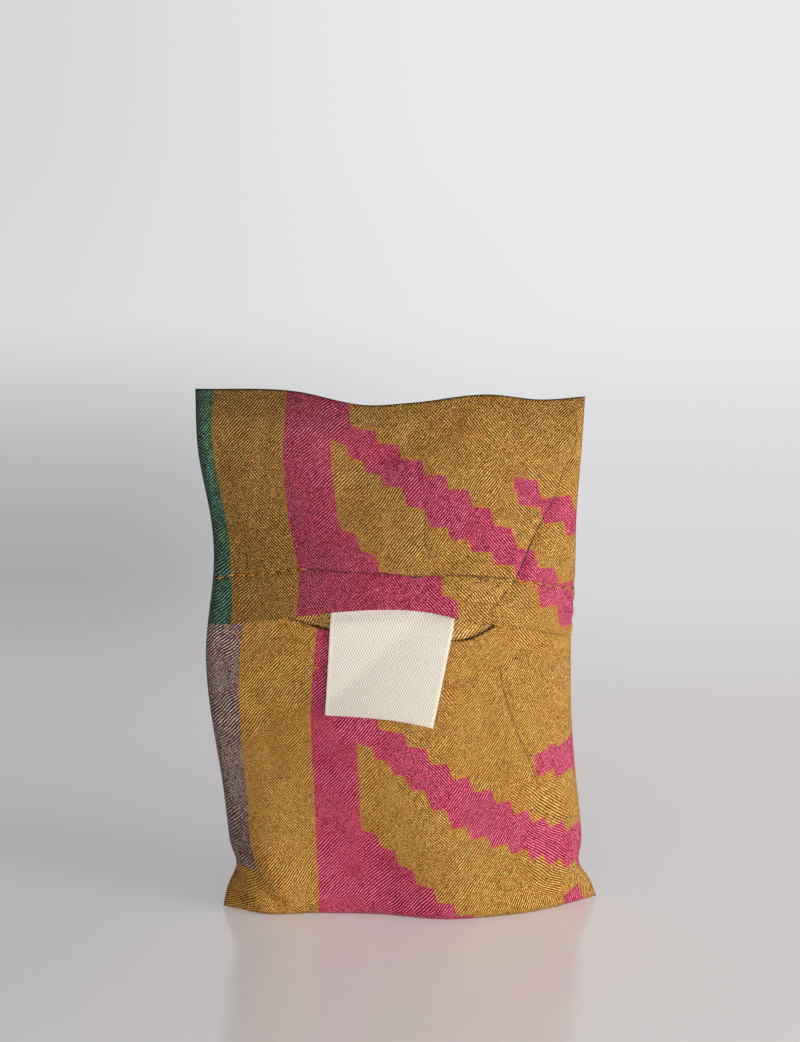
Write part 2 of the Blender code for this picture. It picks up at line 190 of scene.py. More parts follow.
def column_profile(across, front):
    """One column of cloth from the middle of the base to the top fold: share of its length, depth, height."""
    seam = from_seam(across)
    if front:
        base = FRONT_BASE * through(BASE_FILL_SHAPE, across)
        sideways, outwards = FRONT_ROUNDNESS
        belly = FRONT_BELLY * (1 - abs(skewed(across, RIDGE_SHIFT)) ** sideways) ** outwards
    else:
        base = BACK_BASE * (1 - abs(across) ** BACK_BASE_ROUNDNESS)
        sideways, outwards = BACK_ROUNDNESS
        belly = BACK_BELLY * (1 - abs(across) ** sideways) ** outwards
    base, belly = (float(depth + EDGE_PUFF * seam) if seam > 0 else 0.0 for depth in (base, belly))
    corner = min(BASE_CORNER, CORNER_MOST * base)
    top = POUCH_HEIGHT + TOP_WAVE * float(through(TOP_WAVE_SHAPE, across))
    ear = EAR_LIFT * float(smooth((abs(across) - EAR_FROM) / (1 - EAR_FROM)))
    rise = np.linspace(0, 1, 181)[1:]
    turn = np.linspace(0, math.pi / 2, 13)[1:]
    to_top = np.clip((1 - rise) * (top - corner) / TOP_EASE, 0, 1)
    wall = (base + (belly - base) * smooth(rise / BELLY_RISE)) * (1 - rise**TOP_TAPER)
    wall = np.maximum(wall, EDGE_PUFF * seam * to_top)
    dent = TOP_DENT * bump(across, *TOP_DENT_ACROSS) * bump(rise, *TOP_DENT_UP) if front else 0
    wall = np.maximum(wall - dent, np.minimum(wall, EDGE_PUFF * seam * to_top))
    depth = np.concatenate([[0, base - corner], base - corner * (1 - np.sin(turn)), wall])
    height = np.concatenate([[0, 0], corner * (1 - np.cos(turn)), corner + (top - corner) * rise])
    height = height + ear * (1 - height / top)
    length = np.concatenate([[0], np.cumsum(np.hypot(np.diff(depth), np.diff(height)))])
    return length / length[-1], depth, height


class Column:
    """One column of cloth on the front or the back of the pouch, from its base to its top fold."""

    def __init__(self, across, front):
        self.across = float(across)
        self.front = front
        self.shares, self.depths, self.heights = column_profile(self.across, front)

    def share_at(self, height):
        return np.interp(height, self.heights[1:], self.shares[1:])

    def points(self, shares):
        shares = np.asarray(shares, float)
        across = self.across
        depth = np.interp(shares, self.shares, self.depths)
        height = np.interp(shares, self.shares, self.heights)
        pinch = NECK_PINCH * bump(shares, *NECK_PLACE) * abs(across) ** 8 * np.sign(across)
        pull = SEAM_PULL * through(SEAM_PULL_SHAPE, shares) * across
        x = POUCH_WIDTH / 2 * across - pull - pinch + SWAY * through(SWAY_SHAPE, shares)
        low = smooth(shares / 0.08) * smooth((0.60 - shares) / 0.15)
        y = BACKWARD_LEAN * shares - RIGHT_SEAM_FORWARD * low * smooth((across - 0.4) / 0.6)
        if not self.front:
            x = x + SIDE_PUFF * low * bump(across, *SIDE_PUFF_PLACE) * from_seam(across)
        return np.stack([x, y - depth if self.front else y + depth, height], axis=-1)


def mouth_height(across):
    sag = MOUTH_SAG * (1 - across**2) ** EDGE_ROUNDNESS
    return MOUTH_HEIGHT - sag - MOUTH_GAPE * bump(across, *MOUTH_GAPE_PLACE)


def overlap(across):
    return OVERLAP + OVERLAP_TILT * across


def flap_height(across):
    arch = FLAP_ARCH * (1 - skewed(across, ARCH_SHIFT) ** 2) ** EDGE_ROUNDNESS
    return MOUTH_HEIGHT - overlap(across) + arch - FLAP_SLACK * bump(across, *FLAP_SLACK_PLACE)


def lower_shares(column):
    """Shares of the lower front's rows. At the seams the flap starts at row LOWER_ROWS."""
    mouth = column.share_at(mouth_height(column.across))
    hem = 1 - overlap(column.across) / MOUTH_HEIGHT
    tongue = np.linspace(hem, 1, TONGUE_ROWS + 1)[1:]
    return np.concatenate([np.linspace(0, hem, LOWER_ROWS + 1), tongue]) * mouth


def flap_shares(column):
    hem = column.share_at(flap_height(column.across))
    return np.linspace(hem, 1, FLAP_ROWS + 1)


def grid_normals(points, outwards):
    """Unit normals of a grid of points, columns first."""
    along_i = np.gradient(points, axis=0)
    along_j = np.gradient(points, axis=1)
    normals = np.cross(along_i, along_j)
    normals /= np.maximum(np.linalg.norm(normals, axis=-1, keepdims=True), 1e-12)
    return normals * outwards


def flap_lift(column, shares):
    above = (shares - shares[0]) / (1 - shares[0]) * (POUCH_HEIGHT - MOUTH_HEIGHT + OVERLAP) - OVERLAP
    return (HEM + SLOT_GAP) * (1 - smooth(above / FLAP_LIFT_LENGTH)) * from_seam(column.across)


# Where a share of a column lies on the strip, in millimetres from the base: start and run, negative in front
STRIP_RUNS = {"lower": (0, -PANEL), "flap": (2 * PANEL, -PANEL), "back": (0, PANEL)}


class Panel:
    """A grid of cloth: its points, each point's share of its column and its place on the strip."""

    def __init__(self, name, columns, shares):
        self.name = name
        self.shares = np.array(shares)
        self.points = np.array([c.points(s) for c, s in zip(columns, self.shares)])
        self.find_normals()
        across = np.array([[c.across] * self.shares.shape[1] for c in columns])
        self.u = across * POUCH_WIDTH / 2 * 1000
        start, run = STRIP_RUNS[name]
        self.w = start + run * self.shares
        steps = np.linalg.norm(np.diff(self.points, axis=0), axis=-1) * 1000
        arc = np.concatenate([np.zeros((1, steps.shape[1])), np.cumsum(steps, axis=0)])
        self.arc = arc - arc[len(columns) // 2]

    def find_normals(self):
        self.normals = grid_normals(self.points, -1 if self.name == "back" else 1)

    def from_side(self):
        """Millimetres from each place to the side seam."""
        return POUCH_WIDTH / 2 * 1000 - abs(self.u)


def make_panels():
    t = np.linspace(-1, 1, COLUMNS + 1)
    acrosses = 0.80 * t + 0.20 * np.sin(t * math.pi / 2)
    front = [Column(a, True) for a in acrosses]
    back = [Column(a, False) for a in acrosses]
    lower_rows = [lower_shares(c) for c in front]
    flap_rows = [flap_shares(c) for c in front]
    left = np.concatenate([lower_rows[0][: LOWER_ROWS + 1], flap_rows[0][1:]])
    right = np.concatenate([lower_rows[-1][: LOWER_ROWS + 1], flap_rows[-1][1:]])
    back_rows = [left + (right - left) * (a + 1) / 2 for a in acrosses]
    lower = Panel("lower", front, lower_rows)
    flap = Panel("flap", front, flap_rows)
    lift = np.array([flap_lift(c, s) for c, s in zip(front, flap_rows)])
    flap.points = flap.points + flap.normals * lift[..., None]
    return lower, flap, Panel("back", back, back_rows)


# Folds, creases and puckers of the cloth

# Each crease: a line of places (millimetres from the middle, share of the column), depth, width, sharpness,
# which sets how dark a painted shade line along it is
FLAP_CREASES = (
    (((62, 0.92), (54.6, 0.815), (46.4, 0.743), (40.7, 0.685), (33.8, 0.645), (29, 0.62)), 0.00055, 1.3, 1.0),
    (((4.6, 0.949), (9.6, 0.88), (10.6, 0.834), (9.6, 0.760), (14.3, 0.700)), 0.00035, 1.6, 0.5),
    (((-40, 0.99), (-41, 0.93), (-44, 0.85)), 0.00030, 2.0, 0.0),
    (((24, 0.99), (20, 0.95), (8, 0.93)), 0.00045, 2.6, 0.0),
    (((30, 0.76), (22, 0.73), (10, 0.715)), 0.00045, 2.4, 0.0),
    (((-12, 0.628), (4, 0.630), (19, 0.622)), 0.00030, 1.2, 0.35),
)
LOWER_CREASES = (
    (((36, 0.56), (39.3, 0.483), (44.2, 0.396), (47.9, 0.343), (50, 0.28)), 0.00045, 1.5, 0.7),
    (((20, 0.575), (30, 0.565), (44, 0.55)), 0.00030, 2.2, 0.0),
    (((-50, 0.50), (-44, 0.40), (-43, 0.30)), 0.00035, 2.6, 0.0),
    (((30, 0.02), (26, 0.10), (30, 0.17)), 0.00040, 2.4, 0.0),
    (((-58, 0.13), (-51, 0.090), (-43, 0.065)), 0.00100, 3.4, 0.0),
    (((52, 0.10), (45, 0.13), (36, 0.13)), 0.00045, 2.2, 0.0),
)
BACK_CREASES = (
    (((-60, 0.30), (-44, 0.36), (-28, 0.44)), 0.0006, 2.6, 0.3),
    (((60, 0.42), (42, 0.37), (24, 0.36)), 0.0006, 2.4, 0.3),
    (((58, 0.80), (40, 0.74), (22, 0.72)), 0.0005, 2.4, 0.3),
    (((-58, 0.84), (-40, 0.80), (-25, 0.70)), 0.0005, 2.4, 0.0),
    (((-52, 0.05), (-40, 0.12), (-30, 0.13)), 0.0006, 2.2, 0.0),
    (((50, 0.06), (38, 0.12), (30, 0.16)), 0.0006, 2.2, 0.0),
)
# How far a painted shade line reaches on each side of its crease or stitch groove, in millimetres
SHADE_REACH = 2.5

# Soft unevenness of the cloth, each with its height, its size in millimetres and where its noise starts
RUMPLES = ((0.00055, 26, 1.3), (0.00025, 11, 4.7), (0.00006, 4, 9.1))
SEAM_PUCKER = 0.00032
STITCH_GROOVE = 0.00045
STITCH_SWELL = 0.00016
HEM_STEP = 0.00035
UNDER_FLAP = 0.00025

# Rows of stitches: (millimetres from the middle, share of the column)
FLAP_STITCHES = (
    (-63.7, 0.646), (-56, 0.670), (-36, 0.689), (-7, 0.707), (19, 0.704), (39, 0.686), (48, 0.674),
    (63.7, 0.632),
)
MOUTH_STITCHES = (
    (-63, 0.583), (-51.5, 0.555), (-42, 0.540), (-27.4, 0.523), (-10, 0.515), (12, 0.517), (29.9, 0.530),
    (39.6, 0.543), (51.8, 0.560), (63, 0.585),
)

# What each panel has: its creases, its row of stitches, and how dark the painted shade along that row's
# groove is
PANEL_MARKS = {
    "flap": (FLAP_CREASES, FLAP_STITCHES, 0.85),
    "lower": (LOWER_CREASES, MOUTH_STITCHES, 0.25),
    "back": (BACK_CREASES, None, 0),
}


def distance_to_line(u, v, line):
    """Distance from each place to a line, positive on its left, and how far along its nearest point is."""
    best = np.full(u.shape, 1e9)
    along = np.zeros(u.shape)
    side = np.ones(u.shape)
    count = len(line) - 1
    for k, ((u0, v0), (u1, v1)) in enumerate(zip(line, line[1:])):
        du, dv = u1 - u0, v1 - v0
        t = np.clip(((u - u0) * du + (v - v0) * dv) / (du * du + dv * dv), 0, 1)
        distance = np.hypot(u - u0 - t * du, v - v0 - t * dv)
        nearer = distance < best
        best = np.where(nearer, distance, best)
        along = np.where(nearer, (k + t) / count, along)
        side = np.where(nearer, np.where(du * (v - v0) - dv * (u - u0) < 0, -1, 1), side)
    return best * side, along


def crease_lines(panel, creases):
    """For each crease: distance to it, how strong it is at its nearest point, depth, width, and the strength
    of its painted shade line.
    """
    v = panel.shares * PANEL
    for line, deep, wide, shade_strength in creases:
        points = [(u, share * PANEL) for u, share in line]
        distance, along = distance_to_line(panel.u, v, points)
        fade = np.sin(np.clip(along, 0.02, 0.98) * math.pi) ** 0.5
        yield distance, fade, deep, wide, shade_strength


def crease_depth(panel, creases):
    """A fold pressed in along each line, with a low ridge on both sides, fading out at its ends."""
    depth = np.zeros(panel.u.shape)
    for distance, fade, deep, wide, _ in crease_lines(panel, creases):
        ridge = np.exp(-(((abs(distance) - 2.2 * wide) / (1.4 * wide)) ** 2))
        depth += deep * fade * (np.exp(-((distance / wide) ** 2)) - 0.45 * ridge)
    return depth


def crease_shade_marks(panel):
    """Distance to the nearest crease or row of stitches that has a painted shade line, and how dark that
    painted shade is there, for the material.
    """
    creases, stitches, groove_shade = PANEL_MARKS[panel.name]
    found = crease_lines(panel, creases)
    lines = [(distance, fade * shade_strength) for distance, fade, _, _, shade_strength in found if shade_strength]
    if stitches:
        lines.append(((panel.shares - stitch_share(stitches, panel.u)) * PANEL, np.full(panel.u.shape, groove_shade)))
    distances = np.array([distance for distance, _ in lines])
    nearest = np.argmin(abs(distances), axis=0)[None]
    distance = np.take_along_axis(distances, nearest, axis=0)[0]
    shade_strength = np.take_along_axis(np.array([shade_strength for _, shade_strength in lines]), nearest, axis=0)[0]
    return distance, shade_strength * np.clip(1.4 * (1 - abs(distance) / SHADE_REACH), 0, 1)


def rumple(panel, size, seed):
    """Soft noise over the strip, from about -1 to 1, one wave every few millimetres of size."""
    places = np.stack([panel.u / size, panel.w / size, np.full(panel.u.shape, seed)], axis=-1).reshape(-1, 3)
    return np.array([noise.noise(Vector(p)) for p in places]).reshape(panel.u.shape)


def seam_pucker(panel):
    """Small gathers that run in from the side seams and fade within about 12 mm."""
    inward = panel.from_side()
    phase = panel.w * 2 * math.pi / 6.5 + 1.7 * rumple(panel, 14, 7.3) + inward * 0.25
    return np.sin(phase) * np.exp(-inward / 5.0) * smooth(inward / 1.2)


def stitch_share(stitches, u):
    """Where a row of stitches runs, as a share of the column."""
    return np.interp(u, *zip(*stitches))


def stitch_pucker(panel, stitches):
    """The groove that a row of stitches pulls in, with small gathers across it."""
    distance = (panel.shares - stitch_share(stitches, panel.u)) * PANEL
    gathers = 0.55 + 0.45 * np.sin(panel.u * 2 * math.pi / 3.7 + 2.5 * rumple(panel, 9, 3.1))
    groove = STITCH_GROOVE * np.exp(-((distance / 0.9) ** 2))
    swell = STITCH_SWELL * np.exp(-(((abs(distance) - 2.4) / 1.8) ** 2)) * gathers
    return swell - groove


def hem_step(from_edge, depth):
    """The hem is thicker than the single cloth beside it."""
    return HEM_STEP * (1 - smooth((from_edge - depth) / 1.2 + 0.5))


def dress(panel):
    """Moves a panel's points along its normals by its folds, creases and puckers."""
    creases, stitches, _ = PANEL_MARKS[panel.name]
    inward = panel.from_side()
    at_edge = smooth(inward / 3.0)
    lift = sum(height * rumple(panel, size, seed) for height, size, seed in RUMPLES)
    lift = lift * at_edge + SEAM_PUCKER * seam_pucker(panel)
    lift -= crease_depth(panel, creases) * at_edge
    if stitches:
        lift += stitch_pucker(panel, stitches) * smooth(inward / 1.5)
    if panel.name == "lower":
        under_flap = smooth((panel.shares - 0.56) / 0.04)
        lift -= UNDER_FLAP * under_flap * at_edge
    if panel.name == "flap":
        from_edge = (panel.shares - panel.shares[:, :1]) * PANEL
        hem_depth = (stitch_share(stitches, panel.u) - panel.shares[:, :1]) * PANEL
        lift += hem_step(from_edge, hem_depth) * at_edge
    if panel.name != "lower":
        top = (1 - panel.shares) * PANEL
        lift *= smooth(top / 4.0)
    on_floor = smooth(panel.points[..., 2] / 0.004)
    panel.points = panel.points + panel.normals * (lift * on_floor)[..., None]


# Pattern of the strip, in millimetres: across from its middle, along from the middle of the base

FOLD = PANEL
INTO_COLUMN = -26
STEP_ACROSS = 7.4
STEP_ALONG = 5.0
TREAD_TILT = {"lower": 0.0, "flap": 0.15, "back": 0.1}
RISER_LEAN = 0.33
LEAN_REACH = 3.0
FAR = 99.0


def carried_on(points, x):
    """A line through the points, carried on straight past its ends."""
    px, py = np.array(points, float).T
    first = (py[1] - py[0]) / (px[1] - px[0])
    last = (py[-1] - py[-2]) / (px[-1] - px[-2])
    return np.interp(x, px, py) + first * np.minimum(x - px[0], 0) + last * np.maximum(x - px[-1], 0)


class Stair:
    """A stepped edge of the pattern: step k starts at riser k and lies at level k.

    Risers are (k, place across) and levels (k, place along), both lines through a few points.
    """

    def __init__(self, risers, levels):
        self.risers = risers
        self.levels = levels

    def place(self, u, w):
        """Steps passed across and along: two numbers, whole at each riser and at each level."""
        steps_across = [(place, k) for k, place in self.risers]
        steps_along = sorted((level, k) for k, level in self.levels)
        middle = carried_on(self.levels, carried_on(steps_across, u) - 0.5)
        leaning = u - RISER_LEAN * np.clip(w - middle, -LEAN_REACH, LEAN_REACH)
        across = carried_on(steps_across, leaning)
        along = carried_on(steps_along, w)
        falling = self.levels[0][1] > self.levels[-1][1]
        return (-across, -along - 1) if falling else (across, along)


# Each pink part: its upper edge, its lower edge and the place across at which it starts
LOWER_PARTS = (
    (
        Stair(
            ((-1, -5.1), (0, 4.6), (4, 33.5), (6, 45.6), (11, 75)),
            ((-1, -82.4), (0, -78.3), (6, -45), (10, -24)),
        ),
        Stair(
            ((-3, -12.5), (0, 3.6), (6, 43.6), (11, 73.5)),
            ((-3, -75.3), (0, -63.5), (2, -50.2), (5, -36.9), (10, -10)),
        ),
        INTO_COLUMN,
    ),
    (
        Stair(
            ((-3, -15.1), (0, 2.7), (3, 23), (10, 72)),
            ((-3, -44.2), (1, -25.2), (3, -16), (5, -6), (9, 12)),
        ),
        Stair(((-3, -16), (10, 72)), ((-3, 58), (3, 36), (9, 12))),
        INTO_COLUMN,
    ),
    (
        Stair(((0, 48.8), (1, 57.2), (3, 72)), ((0, -68.5), (1, -66.5), (2, -65))),
        Stair(((0, 48.8), (1, 55.5), (3, 70)), ((0, -60), (1, -55.5), (2, -51))),
        48.8,
    ),
)
FLAP_PARTS = (
    (
        Stair(
            ((-1, -13.5), (0, -4.6), (4, 26.2), (8, 55.3), (11, 76)),
            ((-1, 8), (0, 12.8), (3, 29.4), (5, 42.3), (8, 65), (10, 79)),
        ),
        Stair(
            ((-3, -19.7), (0, -3.5), (4, 25.1), (8, 55.8), (11, 77)),
            ((-3, 14.4), (0, 27.3), (2, 40.9), (5, 55), (8, 73.5), (10, 86)),
        ),
        INTO_COLUMN,
    ),
    (Stair(((-3, -19.2), (-1, -7), (9, 63)), ((-3, 43.3), (9, 114))), None, INTO_COLUMN),
    (
        Stair(((0, 40.6), (1, 49.6), (3, 74)), ((0, 26.5), (1, 34), (2, 41.6))),
        Stair(
            ((-1, 34), (0, 42.2), (1, 50.5), (2, 59), (4, 76)),
            ((-1, 31), (0, 36.2), (1, 43.2), (2, 50), (3, 56)),
        ),
        40.6,
    ),
)
HEM_PARTS = (
    (
        Stair(((6, 40.5), (8, 55.3), (9, 60.8), (11, 76)), ((6, 50), (8, 65), (10, 79))),
        Stair(((6, 41), (8, 56.5), (11, 77)), ((6, 61.6), (8, 82), (10, 100))),
        40.5,
    ),
    (Stair(((2, 14.3), (3, 21.2), (5, 36)), ((1, 45), (2, 62.7), (3, 78))), None, -34),
)
BACK_PARTS = (
    (
        Stair(((-3, -16), (11, 78)), ((-3, 60), (10, 135))),
        Stair(((-3, -16), (11, 78)), ((-3, 75), (10, 150))),
        INTO_COLUMN,
    ),
    (
        Stair(((-3, -17), (8, 60)), ((-3, 105), (7, 160))),
        Stair(((-3, -15), (8, 60)), ((-3, 186), (7, 168))),
        INTO_COLUMN,
    ),
)
PANEL_PARTS = {"lower": LOWER_PARTS, "flap": FLAP_PARTS, "back": BACK_PARTS}
PART_COUNT = 3

COLUMN_LEFT = (
    (-115, -27), (-99, -27), (-74, -29), (-30, -32.5), (95, -33.5), (FOLD, -34.3), (FOLD + 20, -36),
    (FOLD + 43, -37), (FOLD + 62, -34), (FOLD + 80, -31),
)
COLUMN_RIGHT = (
    (-115, -5), (-79, -5), (-78, -12.5), (-63, -13.3), (-44, -15.1), (58, -16), (76, -16), (100, -17),
    (FOLD - 1, -15), (FOLD, -13.5), (FOLD + 12, -13.5), (FOLD + 13, -19.7), (FOLD + 43, -19.2),
    (FOLD + 80, -19),
)
SIDE_STRIPE = (
    (-115, -52), (-95, -52), (-70, -53.3), (-38, -55.2), (-26, -54.3), (20, -55), (100, -57), (FOLD, -57.6),
    (FOLD + 14, -58.6), (FOLD + 38, -58.4), (FOLD + 60, -57.2), (FOLD + 74, -55.6), (FOLD + 90, -55.4),
)
EAR_START = -23
EAR_SLANT = 0.63
EAR_END = 14
STRIPE_TURNS_GREEN = 120
BACK_STRIPE_SIDE = 57
BACK_STRIPE_ENDS = (8, 118)
EAR_PINK_ENDS = (-12, 3)
EAR_PINK_SIDES = (54, 60.5)


def column_distance(u, w):
    """How far inside the pink column a place lies: negative outside it."""
    left = np.interp(w, *zip(*COLUMN_LEFT))
    right = np.interp(w, *zip(*COLUMN_RIGHT))
    ear = np.minimum(u - EAR_PINK_SIDES[0], EAR_PINK_SIDES[1] - u)
    ear = np.minimum(ear, np.minimum(w - EAR_PINK_ENDS[0], EAR_PINK_ENDS[1] - w))
    return np.maximum(np.minimum(u - left, right - u), ear)


def stripe_distance(u, w):
    """How far inside the stripes along the two sides a place lies: negative outside them."""
    left = np.interp(w, *zip(*SIDE_STRIPE)) - u
    ear_start = EAR_START + EAR_SLANT * np.maximum(-55 - u, 0)
    left = np.minimum(left, np.maximum(ear_start - w, w - EAR_END))
    right = np.minimum(u - BACK_STRIPE_SIDE, np.minimum(w - BACK_STRIPE_ENDS[0], BACK_STRIPE_ENDS[1] - w))
    return np.maximum(left, right)


def part_fields(u, w, parts, tilt):
    """Two fields for each pink part: steps passed and distance past its start, its foot's steps and tilt."""
    fields = []
    outside = (np.zeros(u.shape), np.full(u.shape, -FAR))
    for k in range(PART_COUNT):
        top, foot, start = parts[k] if k < len(parts) else (None, None, 0)
        upper = top.place(u, w) if top else outside
        lower = foot.place(u, w) if foot else outside
        fields.append((*upper, u - start))
        fields.append((*lower, np.full(u.shape, tilt)))
    return fields


# Meshes


def join(panel_points):
    return np.concatenate([p.reshape(-1, 3) for p in panel_points])


def quads(numbers, front, keep=None):
    """Corner numbers of the faces of a grid of vertex numbers, facing forwards or backwards."""
    a, b, c, d = numbers[:-1, :-1], numbers[1:, :-1], numbers[1:, 1:], numbers[:-1, 1:]
    faces = np.stack([a, b, c, d] if front else [a, d, c, b], axis=-1)
    if keep is not None:
        faces = faces[keep]
    return faces.reshape(-1, 4)


def corner_values(values, front, keep=None):
    """The values of a grid at the corners of its faces, in the order that quads gives."""
    return quads(values, front, keep).reshape(-1)


def new_object(name, points, faces, material):
    mesh = bpy.data.meshes.new(name)
    mesh.from_pydata([tuple(p) for p in points], [], [tuple(int(n) for n in f) for f in faces])
    mesh.materials.append(material)
    mesh.update()
    mesh.shade_smooth()
    obj = bpy.data.objects.new(name, mesh)
    bpy.context.scene.collection.objects.link(obj)
    return obj


def add_uv(obj, name, u, v):
    layer = obj.data.uv_layers.new(name=name)
    layer.data.foreach_set("uv", np.stack([u, v], axis=-1).astype(np.float32).ravel())


def place_in_frame(panels, box):
    """How far the panels move so that their middle lies where the solid pouch has its own."""
    points = join([p.points for p in panels])
    low, high = points.min(axis=0), points.max(axis=0)
    cad_low, cad_high = np.array(box[0]), np.array(box[1])
    shift = (cad_low + cad_high) / 2 - (low + high) / 2
    shift[2] = cad_low[2] - low[2]
    return shift


def pouch_numbers(lower, flap, back):
    """Vertex numbers of the three grids. Where the cloth joins, the grids share vertices."""
    grids = []
    count = 0
    for panel in (lower, flap, back):
        grids.append(np.arange(panel.shares.size).reshape(panel.shares.shape) + count)
        count += panel.shares.size
    lower_numbers, flap_numbers, back_numbers = grids
    for side in (0, COLUMNS):
        flap_numbers[side, 0] = lower_numbers[side, LOWER_ROWS]
        back_numbers[side, : LOWER_ROWS + 1] = lower_numbers[side, : LOWER_ROWS + 1]
        back_numbers[side, LOWER_ROWS + 1 :] = flap_numbers[side, 1:]
    back_numbers[:, 0] = lower_numbers[:, 0]
    back_numbers[:, -1] = flap_numbers[:, -1]
    return grids


def make_pouch(lower, flap, back, material):
    """The strip of cloth: lower front, flap and back as one mesh, joined at the seams, base and top fold."""
    lower_numbers, flap_numbers, back_numbers = pouch_numbers(lower, flap, back)
    tongue = np.ones((COLUMNS, LOWER_ROWS + TONGUE_ROWS), bool)
    tongue[0, LOWER_ROWS:] = False
    tongue[-1, LOWER_ROWS:] = False
    faces = np.concatenate(
        [quads(lower_numbers, True, tongue), quads(flap_numbers, True), quads(back_numbers, False)]
    )
    obj = new_object("pouch_cloth", join([lower.points, flap.points, back.points]), faces, material)
    in_hem = flap.shares[:-1, 1:] <= stitch_share(FLAP_STITCHES, flap.u[:-1, 1:]) + 0.003
    in_hem = np.repeat(in_hem.ravel(), 4)
    layers = {"cloth": [], "stripes": [], "creases": []}
    fields = [[] for _ in range(2 * PART_COUNT)]
    for panel, front, keep in ((lower, True, tongue), (flap, True, None), (back, False, None)):
        u, w = (corner_values(value, front, keep) for value in (panel.u, panel.w))
        along = w - FOLD if panel.name == "flap" else w
        tilt = TREAD_TILT[panel.name]
        places = part_fields(u, along, PANEL_PARTS[panel.name], tilt)
        if panel.name == "flap":
            in_hem_places = part_fields(u, along, HEM_PARTS, tilt)
            places = [np.where(in_hem, hemmed, plain) for hemmed, plain in zip(in_hem_places, places)]
        for field, place in zip(fields, places):
            field.append(np.array(place))
        arc = corner_values(panel.arc, front, keep)
        layers["cloth"].append((arc, w))
        layers["stripes"].append((column_distance(u, w), stripe_distance(u, w)))
        layers["creases"].append([corner_values(value, front, keep) for value in crease_shade_marks(panel)])
    for name, pairs in layers.items():
        add_uv(obj, name, *np.concatenate(pairs, axis=1))
    for k, field in enumerate(fields):
        attribute = obj.data.attributes.new(f"stair_{k}", "FLOAT_VECTOR", "CORNER")
        attribute.data.foreach_set("vector", np.concatenate(field, axis=1).T.astype(np.float32).ravel())

    hem = obj.vertex_groups.new(name="hems")
    in_mouth_hem = lower.shares > stitch_share(MOUTH_STITCHES, lower.u)
    in_flap_hem = flap.shares < stitch_share(FLAP_STITCHES, flap.u)
    for numbers in (lower_numbers[in_mouth_hem], flap_numbers[in_flap_hem]):
        hem.add(numbers.tolist(), 1.0, "REPLACE")
    drop_vertices(obj, set(range(len(obj.data.vertices))) - set(np.unique(faces).tolist()))
    wall = obj.modifiers.new("cloth", "SOLIDIFY")
    wall.thickness = HEM - 0.0002
    wall.offset = -1
    wall.use_even_offset = True
    wall.use_quality_normals = True
    wall.vertex_group = hem.name
    wall.thickness_vertex_group = (CLOTH - 0.0001) / wall.thickness
    return obj


def drop_vertices(obj, numbers):
    bm = bmesh.new()
    bm.from_mesh(obj.data)
    bm.verts.ensure_lookup_table()
    bmesh.ops.delete(bm, geom=[bm.verts[n] for n in numbers], context="VERTS")
    bm.to_mesh(obj.data)
    bm.free()


def front_place(x, height, shift):
    """The place on the lower front or the flap above it at x and a height: point, outward normal."""
    across = 2 * (x - shift[0]) / POUCH_WIDTH
    for _ in range(4):
        column = Column(across, True)
        share = float(column.share_at(height))
        across += 2 * (x - shift[0] - float(column.points(share)[0])) / POUCH_WIDTH
    column = Column(across, True)
    share = float(column.share_at(height))
    step = 0.004
    side = Column(across + step, True).points(share) - Column(across - step, True).points(share)
    up = column.points(share + step) - column.points(share - step)
    normal = np.cross(side, up)
    return column.points(share) + shift, normal / np.linalg.norm(normal)


def patch(name, points, material, layer, u, v, thickness, offset=-1):
    """A grid of points as a piece of cloth with its thickness and its own coordinates."""
    numbers = np.arange(points.size // 3).reshape(points.shape[:2])
    obj = new_object(name, points.reshape(-1, 3), quads(numbers, True), material)
    add_uv(obj, layer, corner_values(u, True), corner_values(v, True))
    wall = obj.modifiers.new(layer, "SOLIDIFY")
    wall.thickness = thickness
    wall.offset = offset
    return obj


def make_label(material, shift):
    """A length of woven tape, sewn under the hem of the flap, its foot standing a little off the cloth."""
    free = LABEL_LEAVES + LABEL_LEAVING
    tucked = np.linspace(-LABEL_TUCK, LABEL_LEAVES, 6)
    leaving = np.linspace(LABEL_LEAVES, free, 9)[1:]
    hanging = np.linspace(free, LABEL_LENGTH, 34)[1:]
    rows = np.concatenate([tucked, leaving, hanging])[::-1]
    sides = np.linspace(-1, 1, 37)
    points = np.zeros((len(sides), len(rows), 3))
    under = -LABEL_THICKNESS - TOUCH_GAP
    for i, sideways in enumerate(sides):
        for j, below in enumerate(rows):
            drop = max(below, 0) / LABEL_LENGTH
            half = (LABEL_WIDTH + (LABEL_FOOT_WIDTH - LABEL_WIDTH) * drop) / 2
            x = LABEL_OFFSET + LABEL_FOOT_SHIFT * drop + half * sideways
            edge = float(flap_height(2 * x / POUCH_WIDTH + LABEL_ASIDE))
            height = edge - below - LABEL_TWIST * drop * sideways
            point, normal = front_place(x + shift[0], height, shift)
            out = float(smooth((below - LABEL_LEAVES) / LABEL_LEAVING))
            stand = LABEL_STAND_OFF * float(smooth((drop - 0.1) / 0.9))
            stand += LABEL_TURN * float(smooth((0.5 * sideways + drop - 0.25) / 1.2)) * drop
            stand += LABEL_WAVE * drop * math.sin(2.2 * sideways + 4 * drop)
            lift = under + (LABEL_THICKNESS - under) * out + stand
            points[i, j] = point + normal * lift
    u = np.repeat(sides[:, None] * LABEL_WIDTH * 500, len(rows), axis=1)
    v = np.repeat(rows[None, :] * 1000, len(sides), axis=0)
    obj = patch("tape_label", points, material, "tape", u, v, TAPE_THICKNESS, offset=1)
    edge = obj.modifiers.new("edge", "BEVEL")
    edge.width = 0.0001
    edge.segments = 2
    edge.limit_method = "ANGLE"
    return obj


